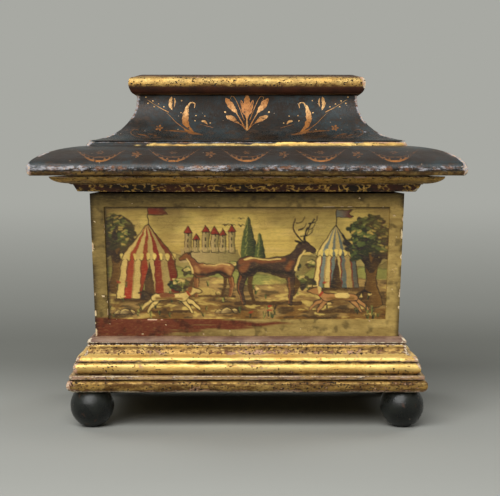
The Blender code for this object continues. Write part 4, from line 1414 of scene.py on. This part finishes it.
def paint_ground(canvas):
    """Sky, hills in bands and a brown foreground."""
    y, high, spots = canvas.y, canvas.high, canvas.spots
    streak = noise(spots * (0.25, 1.4, 1), 4.0, 31)
    cloud = noise(spots * (0.5, 1.0, 1), 14.0, 33)
    brushed = noise(spots * (0.10, 2.4, 1), 2.4, 35)
    rough = rough_noise(spots * (0.35, 1.2, 1), 3.0, 39)
    canvas.lay(np.ones(len(y)), SKY)
    canvas.lay(smooth_step(y, high, 0.5 * high), SKY_LOW)
    canvas.lay(0.55 * smooth_step(streak, 0.5, 0.8), CREAM)
    canvas.lay(0.22 * smooth_step(brushed, 0.55, 0.75), EARTH)
    canvas.lay(0.45 * smooth_step(cloud, 0.52, 0.8), HILL)
    canvas.lay(0.40 * smooth_step(y, 0.90 * high, high + 2), EARTH)
    for base, swing, size, colour in HILLS:
        crest = base * high + swing * (2 * noise(spots * (1, 0, 0), size, int(size)) - 1)
        canvas.lay(smooth_step(crest - y, -0.6, 0.6), colour)
        canvas.lay(0.5 * smooth_step(crest - y, -0.2, 0.3) * smooth_step(crest - y, 1.6, 0.3), INK)
    canvas.lay(smooth_step(y, 0.34 * high, 0.04 * high), EARTH)
    canvas.lay(0.8 * smooth_step(streak, 0.45, 0.75) * smooth_step(y, 0.40 * high, 0.2 * high), EARTH_LIGHT)
    canvas.lay(0.8 * smooth_step(cloud, 0.5, 0.7) * smooth_step(y, 0.26 * high, 0.02 * high), EARTH_DARK)
    near = smooth_step(y, 0.42 * high, 0.3 * high)
    canvas.lay(0.7 * smooth_step(rough, 0.56, 0.68) * near, INK)
    canvas.lay(0.6 * smooth_step(rough, 0.44, 0.34) * near, SKY)


def paint_glaze_and_shade(canvas):
    """Brown varnish, deeper in clouds, and painted shade that darkens the field towards its sides and top."""
    canvas.lay(0.30 * smooth_step(rough_noise(canvas.spots, 16.0, 37), 0.45, 0.70), EARTH)
    # Painted shade: darker towards the field's sides and top.
    canvas.lay(0.35 * smooth_step(np.abs(canvas.x), 0.80 * canvas.half, canvas.half), EARTH_DARK)
    canvas.lay(0.30 * smooth_step(canvas.y, 0.80 * canvas.high, canvas.high), EARTH_DARK)


# What is painted between the ground and the glaze with its painted shade, from far to near
PICTURES = {
    "front": (
        (paint_town, (-44, 45), 6), (paint_cypress, (1, 37), 36), (paint_cypress, (9, 35), 26),
        (paint_birds, (-18, 66), 5), (paint_bush, (-40, 33), 3.4), (paint_bush, (-8, 37), 3.4),
        (paint_bush, (25, 39), 3.4), (paint_bush, (33, 36), 3.4), (paint_bush, (48, 38), 3.4),
        (paint_oak, (-92, 20), 58, 11), (paint_tent, (-70, 14), 46, 54, VERMILION, CREAM),
        (paint_tent, (63, 22), 33, 45, STEEL, CREAM), (paint_oak, (88, 10), 68, 14),
        (paint_bush, (-47, 22), 7), (paint_bush, (41, 24), 7), (paint_tufts, 26, 10, 24),
        (paint_deer, (-26, 16), 29, HIDE, HIDE_LIGHT, -1, False), (paint_deer, (17, 11), 41, HIDE_DARK, HIDE),
        (paint_hound, (-53, 5), 28, CREAM, HIDE), (paint_hound, (64, 5), 28, HIDE_LIGHT, CREAM, -1),
        (paint_rocks, (-86, 3), 6), (paint_rocks, (-14, 4), 6), (paint_tufts, 34, 0, 8),
    ),
    "right": (
        (paint_town, (18, 41), 4), (paint_cypress, (8, 33), 33), (paint_oak, (46, 14), 60, 15),
        (paint_tufts, 18, 10, 26), (paint_deer, (-8, 11), 34, HIDE_DARK, HIDE, -1),
        (paint_rocks, (-46, 4), 6), (paint_tufts, 24, 0, 9),
    ),
    "back": (
        (paint_town, (30, 41), 5), (paint_bridge, (6, 25), 36, 3),
        (paint_tent, (76, 18), 34, 42, VERMILION, CREAM), (paint_cypress, (53, 31), 32),
        (paint_birds, (-10, 64), 4), (paint_oak, (-74, 14), 60, 18),
        (paint_tufts, 26, 10, 26), (paint_deer, (-22, 10), 33, HIDE, HIDE_LIGHT, -1),
        (paint_hound, (36, 8), 20, CREAM, HIDE, -1), (paint_rocks, (8, 4), 6), (paint_tufts, 34, 0, 9),
    ),
    "left": (
        (paint_bridge, (6, 29), 36, 3), (paint_tent, (-30, 17), 36, 42, VERMILION, CREAM),
        (paint_cypress, (52, 32), 34), (paint_oak, (-58, 18), 52, 10), (paint_tufts, 18, 10, 26),
        (paint_hound, (14, 8), 23, CREAM, HIDE), (paint_rocks, (-46, 4), 6), (paint_tufts, 24, 0, 9),
    ),
}

BORDER_GOLD = linear(186, 157, 90)
BORDER_SHADE = linear(118, 94, 46)
BORDER_RED = linear(112, 54, 32)
BORDER_FOOT = 11.0


def paint_border(colour, border, spots, edge):
    """Olive gold round the field, streaky, red where it is thin at the foot, grimy here and there, lighter
    towards the right as painted light, and darker along the top as a painted shadow of the lid.
    """
    level = spots[:, 1] + BORDER_FOOT
    streak = rough_noise(spots * (0.3, 1.2, 1), 3.4, 61)[:, None]
    brushed = rough_noise(spots * (0.10, 1.3, 1), 3.4, 63) - 0.005 * (spots[:, 0] + 10)
    red = smooth_step(brushed, 0.44, 0.60) * smooth_step(level, 13, 11)
    dark = 0.8 * bump(edge, 2.4) * smooth_step(rough_noise(spots, 14.0, 67), 0.36, 0.52)
    grime = 0.55 * smooth_step(rough_noise(spots, 6.0, 65), 0.54, 0.72)
    # Painted light: lighter towards the right. Painted shadow of the lid: darker along the top.
    painted_light_right = 1 + 0.29 * np.tanh(spots[:, :1] / 60)
    painted_lid_shadow = 1 - 0.76 * smooth_step(level, 88, 100)[:, None]
    base = np.array(BORDER_GOLD) * (1 - streak) + np.array(BORDER_SHADE) * streak
    base = base * painted_light_right * painted_lid_shadow
    base = base + (np.array(BORDER_RED) - base) * red[:, None]
    base = base + (np.array(INK) - base) * np.maximum(grime, dark)[:, None]
    return colour + (base - colour) * border[:, None]


# Walls

SKIN = 0.22 * MM
SKIN_BACK = 0.25 * MM
SKIN_DEEPEST = -0.15 * MM
FIELD_PITCH = 0.55 * MM
BORDER_PITCH = 0.75 * MM
REVEAL_PITCH = 0.3 * MM
SKIN_PITCHES = (BORDER_PITCH, REVEAL_PITCH, FIELD_PITCH, REVEAL_PITCH, BORDER_PITCH)
SKIN_FOOT = 3.8 * MM
HINGE_ROOM = 5.0 * MM
FIELD_LEAST = 0.1 * MM
FIELD_MOST = 1.6 * MM
EDGE_REACH = 1.0 * MM
RIM_REACH = 0.5 * MM
TOP_REACH = 0.8 * MM
LEFT_SHADOW = 1.6 * MM
TOP_SHADOW = 1.3 * MM
PICTURE_SEED = 100


class Wall:
    """One wall's face, read from its board and turned to the front."""

    def __init__(self, side, quarters):
        points = turned(read_mesh(f"{side}_board")[0], -quarters)
        out, up = -points[:, 1], points[:, 2]
        self.low, self.high = up.min(), up.max()
        self.top_out = out[up > self.high - SAME_PLACE].max()
        foot_out = out[up < self.low + SAME_PLACE].max()
        self.slope = (self.top_out - foot_out) / (self.high - self.low)
        between = (up > self.low + MM) & (up < self.high - HINGE_ROOM)
        sunk = self.lean(self.top_out, up) - out
        field = between & (sunk > FIELD_LEAST) & (sunk < FIELD_MOST)
        self.rim = self.rectangle(points[between & (sunk < FIELD_LEAST)])
        self.bed = self.rectangle(points[field])
        self.depth = np.median(sunk[field])

    def lean(self, at_top, up):
        """A size at the walls' top, as it is at another height."""
        return at_top - self.slope * (self.high - up)

    def rectangle(self, points):
        """Half width as it would be at the wall's top, and the lowest and highest level."""
        half = (np.abs(points[:, 0]) + self.slope * (self.high - points[:, 2])).mean()
        return half, points[:, 2].min(), points[:, 2].max()


def spaced(marks, pitches):
    """Places from mark to mark, each stretch cut evenly into steps no longer than its pitch."""
    places = [marks[:1]]
    for start, stop, pitch in zip(marks, marks[1:], pitches):
        places.append(np.linspace(start, stop, math.ceil((stop - start) / pitch) + 1)[1:])
    return np.concatenate(places)


class Skin:
    """A grid of paint over a wall: x and z, how far from the wall's edge, and how far down into the field."""

    def __init__(self, wall, half):
        (rim, rim_low, rim_high), (bed, bed_low, bed_high) = wall.rim, wall.bed
        up = spaced((wall.low + SKIN_FOOT, rim_low, bed_low, bed_high, rim_high, wall.high), SKIN_PITCHES)
        at_top = spaced((-half, -rim, -bed, bed, rim, half), SKIN_PITCHES)
        shrink = wall.slope * (wall.high - up)[:, None]
        self.wall = wall
        self.half = half
        self.x = at_top - shrink * np.clip(at_top / bed, -1, 1)
        self.z = np.broadcast_to(up[:, None], self.x.shape)
        self.out = wall.lean(wall.top_out, self.z)
        self.edge = np.broadcast_to(half - np.abs(at_top), self.x.shape)
        self.corner = bump(self.edge, EDGE_REACH) * np.sign(at_top)
        self.inset = np.minimum(
            np.interp(half - self.edge, (bed, rim), (1, 0)),
            np.interp(self.z, (rim_low, bed_low, bed_high, rim_high), (0, 1, 1, 0)),
        )

    def lift(self, face):
        """How far paint stands off the board: worn at edges, chipped at the field's rim, flaked in spots."""
        rim, rim_low, rim_high = self.wall.rim
        z, edge, rim_in = self.z, self.edge, self.half - rim
        rim_edge = np.minimum(np.abs(edge - rim_in), np.minimum(np.abs(z - rim_low), np.abs(z - rim_high)))
        in_reach = (edge > rim_in - MM) & (z > rim_low - MM) & (z < rim_high + MM)
        rim_chips = smooth_step(rough_noise(face, 0.016, 87), 0.46, 0.62)
        rim_chips = np.where(z < rim_low + MM, 0.9, 0.5) * rim_chips
        arris = np.maximum(bump(edge, EDGE_REACH), rim_chips * bump(rim_edge, RIM_REACH) * in_reach)
        arris = np.maximum(arris, 0.2 * bump(self.wall.high - z, TOP_REACH))
        flakes = smooth_step(rough_noise(face, 0.0060, 81), 0.52, 0.66)
        spots = smooth_step(rough_noise(face, 0.0026, 83), 0.79, 0.83) * (1 - 0.6 * (self.inset > 0.5))
        lift = SKIN - 0.05 * MM * noise(face, 0.002, 85) - arris * (0.10 + 0.5 * flakes) * MM
        return np.maximum(lift - 0.4 * MM * spots, SKIN_DEEPEST)

    def back(self):
        """Points behind the skin: its edge, and the corners of the field's rim and bed."""
        ring = ring_of(*self.x.shape)
        edge = np.stack((self.x, -(self.out - SKIN_BACK), self.z), axis=-1).reshape(-1, 3)[ring]
        edge[:, 0] -= np.sign(edge[:, 0]) * SKIN_BACK * (np.abs(self.edge.ravel()[ring]) < SAME_PLACE)
        corners = []
        for (half, low, high), deep in ((self.wall.rim, 0.0), (self.wall.bed, self.wall.depth)):
            for sign, level in ((-1, low), (1, low), (1, high), (-1, high)):
                out = self.wall.lean(self.wall.top_out, level) - deep - SKIN_BACK
                corners.append((sign * self.wall.lean(half, level), -out, level))
        return np.vstack((edge, corners))

    def paint(self, side, quarters):
        """The picture and the border round it, and how much each point is border."""
        bed, bed_low, bed_high = self.wall.bed
        spots = np.column_stack((self.x.ravel(), self.z.ravel() - bed_low, np.zeros(self.x.size))) / MM
        canvas = Canvas(spots, bed / MM, (bed_high - bed_low) / MM, PICTURE_SEED + quarters)
        paint_ground(canvas)
        for painter, *values in PICTURES[side]:
            painter(canvas, *values)
        paint_glaze_and_shade(canvas)
        from_left = self.x + self.wall.lean(bed, self.z)
        shadow = np.maximum(bump(from_left, LEFT_SHADOW), bump(bed_high - self.z, TOP_SHADOW))
        canvas.lay(0.85 * shadow.ravel(), INK)
        border = 1 - smooth_step(self.inset.ravel(), 0.55, 0.95)
        return paint_border(canvas.colour, border, spots, self.edge.ravel() / MM), border


def wall_piece(side, quarters, wall, half, material):
    """A skin of paint over a wall, with its picture, that shows the ground where it has chipped off."""
    name = f"{side}_paint"
    skin = Skin(wall, half)
    face = turned(np.stack((skin.x, -skin.out, skin.z), axis=-1), quarters)
    lift = skin.lift(face)
    sunk = wall.depth * skin.inset
    front = np.stack((skin.x + skin.corner * lift, -(skin.out - sunk + lift), skin.z), axis=-1)
    back = skin.back()
    points = turned(np.vstack((front.reshape(-1, 3), back)), quarters)
    faces = grid_faces(*skin.x.shape, False)[:, ::-1].tolist() + skin_back_faces(*skin.x.shape)
    colour, border = skin.paint(side, quarters)
    paint = np.ones((len(points), 4))
    paint[:len(colour), :3] = colour
    gilt = np.concatenate((border, np.zeros(len(back))))
    mesh = build_mesh(name, points.tolist(), faces, material, paint=paint, gilt=gilt)
    if side == HINGED_SIDE:
        mesh = cut_pockets(mesh)
    add_piece(name, mesh, "case", "picture_paint")


def ring_of(rows, columns):
    """The points round the outside of a grid, from its lower left, to the right first."""
    index = np.arange(rows * columns).reshape(rows, columns)
    return np.concatenate((index[0, :-1], index[:-1, -1], index[-1, :0:-1], index[:0:-1, 0]))


def skin_back_faces(rows, columns):
    """Faces that close a skin behind: its edge, four flat borders, the reveal and the field's bed."""
    ring = ring_of(rows, columns).tolist()
    count = len(ring)
    behind = list(range(rows * columns, rows * columns + count))
    rim, bed = ([behind[-1] + 1 + start + index for index in range(4)] for start in (0, 4))
    faces = []
    for index in range(count):
        after = (index + 1) % count
        faces.append([ring[index], behind[index], behind[after], ring[after]])
    starts = (0, columns - 1, columns + rows - 2, 2 * columns + rows - 3, count)
    for side in range(4):
        stretch = [behind[index % count] for index in range(starts[side], starts[side + 1] + 1)]
        nearest = (side + 1) % 4
        faces.append([rim[side], rim[nearest]] + stretch[::-1])
        faces.append([bed[side], bed[nearest], rim[nearest], rim[side]])
    faces.append(bed[::-1])
    return faces


def picture_material():
    """Old oil paint under yellowed varnish, cracked and rubbed."""
    graph = MaterialGraph("old_paint", GILT_GLOSS)
    brush = graph.noise(81, 0.0011, 4, 0.65, (3, 3, 1))
    patch = graph.noise(82, 0.012)
    crack = graph.cells(83, 0.0026, "DISTANCE_TO_EDGE").step(0.010, 0.06, 1.0, 0.0)
    crack = crack * patch.step(0.46, 0.66, 0.0, 0.28)
    rubbed = graph.noise(84, 0.0022, 5, 0.75).step(0.66, 0.74, 0.0, 0.75)
    colour = brush.step(0.45, 0.85, 0.0, 0.36).mix(graph.attribute("paint", "Color"), GRIME)
    colour = brush.step(0.52, 0.15, 0.0, 0.18).mix(colour, CREAM)
    colour = rubbed.mix(crack.mix(colour, GRIME), EARTH_LIGHT)
    rough = patch.step(0.3, 0.7, 0.40, 0.54)
    return graph.finish((colour, graph.attribute("gilt") * 0.35, rough, brush * 0.6 - crack * 0.6), 0.15 * MM)


def make_walls():
    material = picture_material()
    walls = [Wall(side, quarters) for quarters, side in enumerate(SIDES)]
    for quarters, side in enumerate(SIDES):
        wall_piece(side, quarters, walls[quarters], walls[(quarters + 1) % 4].top_out, material)


# Feet and small pieces

FOOT_SIDES = 72
LOOKS_AWAY = 0.3


def foot_rings(points, centre):
    """A turned foot's rings as (height, radius), from its underside up."""
    radius = np.hypot(points[:, 0] - centre.x, points[:, 1] - centre.y)
    line = np.unique(np.column_stack((points[:, 2], radius)).round(5), axis=0)
    rings = []
    for height in np.unique(line[:, 0]):
        radii = np.unique(line[line[:, 0] == height, 1].round(4))
        rings += [(height, part) for part in (radii if len(rings) == 0 else radii[::-1])]
    return np.array(rings)


def make_feet():
    """Turned feet, worn a little uneven."""
    material = ebony_material()
    angles = np.arange(FOOT_SIDES) * math.tau / FOOT_SIDES
    ways = np.column_stack((np.cos(angles), np.sin(angles), np.zeros(FOOT_SIDES)))
    for depth, hand in itertools.product(("front", "back"), HANDS):
        node = f"foot_{depth}_{hand}"
        low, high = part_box(node)
        centre = (Vector(low) + Vector(high)) / 2
        rings = foot_rings(read_mesh(node)[0], centre)
        radius = rings[:, 1, None]
        grid = radius[..., None] * ways + (centre.x, centre.y, 0)
        grid[..., 2] = rings[:, :1]
        sink = (0.25 * noise(grid, 0.009, 17) + 0.12 * noise(grid, 0.003, 19)) * MM
        grid = grid - np.minimum(sink, radius)[..., None] * ways
        last = len(rings) * FOOT_SIDES
        faces = grid_faces(len(rings), FOOT_SIDES, True)[:, ::-1].tolist()
        faces += [list(range(FOOT_SIDES))[::-1], list(range(last - FOOT_SIDES, last))]
        mesh = build_mesh(node + "_worn", grid.reshape(-1, 3).tolist(), faces, material)
        add_piece(node + "_worn", mesh, "case", "ebonised_wood", node)


def dress_nodes():
    """Finishes for the pieces that keep their solid's shape."""
    brass = brass_material()
    iron = iron_material()
    wide = plain_wood_material("wood_grain_across", (14, 1, 1))
    deep = plain_wood_material("wood_grain_deep", (1, 14, 1))
    gesso = ground_material()
    for name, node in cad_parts.items():
        if "hinge" in name or "screw" in name:
            set_material(node, brass)
        elif "nail" in name:
            set_material(node, iron)
        elif name.endswith("_board"):
            set_material(node, deep if name in ("left_board", "right_board") else wide)
            if name.removesuffix("_board") in SIDES:
                gesso_outside(node, gesso)


def gesso_outside(node, material):
    """Gives the faces of a wall board that look away from the casket's middle another finish."""
    node.data.materials.append(material)
    for face in node.data.polygons:
        away = Vector((face.center.x, face.center.y, 0)).normalized()
        face.material_index = 1 if face.normal.dot(away) > LOOKS_AWAY else 0


def set_material(node, material):
    node.data.materials.clear()
    node.data.materials.append(material)


# Stage: paper with painted shade behind the casket, and beyond it an even grey of the same tone

PAPER = linear(171, 172, 166)
PAPER_SHADE = linear(117, 118, 112)
PAPER_FRONT = 0.10
GLOW = linear(168, 169, 163)
GLOW_SHADE = linear(119, 120, 114)
FLOOR_RADIUS = 8.0
FLOOR_SIDES = 160
NEAR_RADII = (0.02, 1.2, 90)
FAR_RADII = (1.25, FLOOR_RADIUS, 30)
SHADE_START = -0.17
SHADE_FULL = 0.30
SHADE_KEPT = 0.43
SHADE_FALL = 1.75
FAR_START = 0.40
FAR_FULL = 0.85
EDGE_START = 2.5
SKY_LIGHT = 0.025
LIT_PLACE = (0.0, 0.0, 0.12)

# Lamps: place, width and height in metres, and watts
LAMPS = {
    "key": ((-0.50, -1.70, 1.48), 1.9, 1.7, 60),
    "top": ((0.1, 0.2, 1.9), 1.4, 0.8, 6),
    "left_back": ((-1.4, 1.4, 1.75), 1.1, 1.1, 16),
    "right_back": ((1.4, 1.4, 1.75), 1.1, 1.1, 16),
}


def floor_material():
    """Grey paper that takes the casket's shadow near it, with painted shade behind the casket, and shows an
    even grey further off.
    """
    graph = MaterialGraph("paper_floor", 0.0)
    shade = graph.attribute("shade")
    graph.finish((shade.mix(PAPER, PAPER_SHADE), 0.0, 0.85, graph.noise(91, 0.004)), 0.05 * MM)
    paper = Value(graph, graph.shader.outputs[0])
    glow = graph.node("ShaderNodeEmission", 0, {"Color": shade.mix(GLOW, GLOW_SHADE)})
    far = graph.attribute("far") * graph.seen()
    blend = graph.node("ShaderNodeMixShader", 0, {0: far, 1: paper, 2: glow})
    graph.feed(graph.tree.nodes["Material Output"].inputs["Surface"], blend)
    return graph.material


def make_stage():
    """A round floor."""
    radii = np.concatenate((np.linspace(*NEAR_RADII), np.geomspace(*FAR_RADII)))
    angles = np.arange(FLOOR_SIDES) * math.tau / FLOOR_SIDES
    x = radii[:, None] * np.cos(angles)
    y = radii[:, None] * np.sin(angles)
    points = np.stack((x, y, np.zeros(x.shape)), axis=-1).reshape(-1, 3)
    # Painted shade: darker behind the casket, fading away further back and towards the floor's edge.
    shade = PAPER_FRONT + (1 - PAPER_FRONT) * smooth_step(y, SHADE_START, SHADE_FULL)
    shade = shade * np.exp(-np.maximum(y - SHADE_KEPT, 0) / SHADE_FALL)
    shade = shade * smooth_step(radii, FLOOR_RADIUS, EDGE_START)[:, None]
    far = np.repeat(smooth_step(radii, FAR_START, FAR_FULL), FLOOR_SIDES)
    faces = grid_faces(len(radii), FLOOR_SIDES, True).tolist() + [list(range(FLOOR_SIDES))]
    mesh = build_mesh("paper_floor", points.tolist(), faces, floor_material(), shade=shade.ravel(), far=far)
    add_object("paper_floor", mesh)


def make_lights():
    for name, (place, width, height, watts) in LAMPS.items():
        data = bpy.data.lights.new(name, "AREA")
        data.shape = "RECTANGLE"
        data.size = width
        data.size_y = height
        data.energy = watts
        lamp = add_object(name, data)
        lamp.location = place
        lamp.rotation_euler = (Vector(LIT_PLACE) - Vector(place)).to_track_quat("-Z", "Y").to_euler()
    world = bpy.data.worlds.new("studio")
    world.use_nodes = True
    graph = Graph(world.node_tree)
    sky = graph.tree.nodes["Background"]
    strength = graph.node("ShaderNodeMapRange", "Result", {"Value": graph.seen(), "To Min": SKY_LIGHT})
    graph.feed(sky.inputs["Color"], GLOW)
    graph.feed(sky.inputs["Strength"], strength)
    bpy.context.scene.world = world


def make_camera():
    data = bpy.data.cameras.new("camera")
    data.lens = CAMERA_LENS
    data.sensor_width = CAMERA_SENSOR
    data.shift_x = CAMERA_SHIFT
    camera = add_object("camera", data)
    camera.location = CAMERA_PLACE
    camera.rotation_euler = (math.radians(90 - CAMERA_PITCH), 0, 0)
    bpy.context.scene.camera = camera
    bpy.context.scene.view_settings.view_transform = "Standard"


def main():
    make_camera()
    make_lights()
    make_stage()
    dress_nodes()
    strips = make_mouldings()
    make_ornament(strips)
    make_walls()
    make_feet()


main()
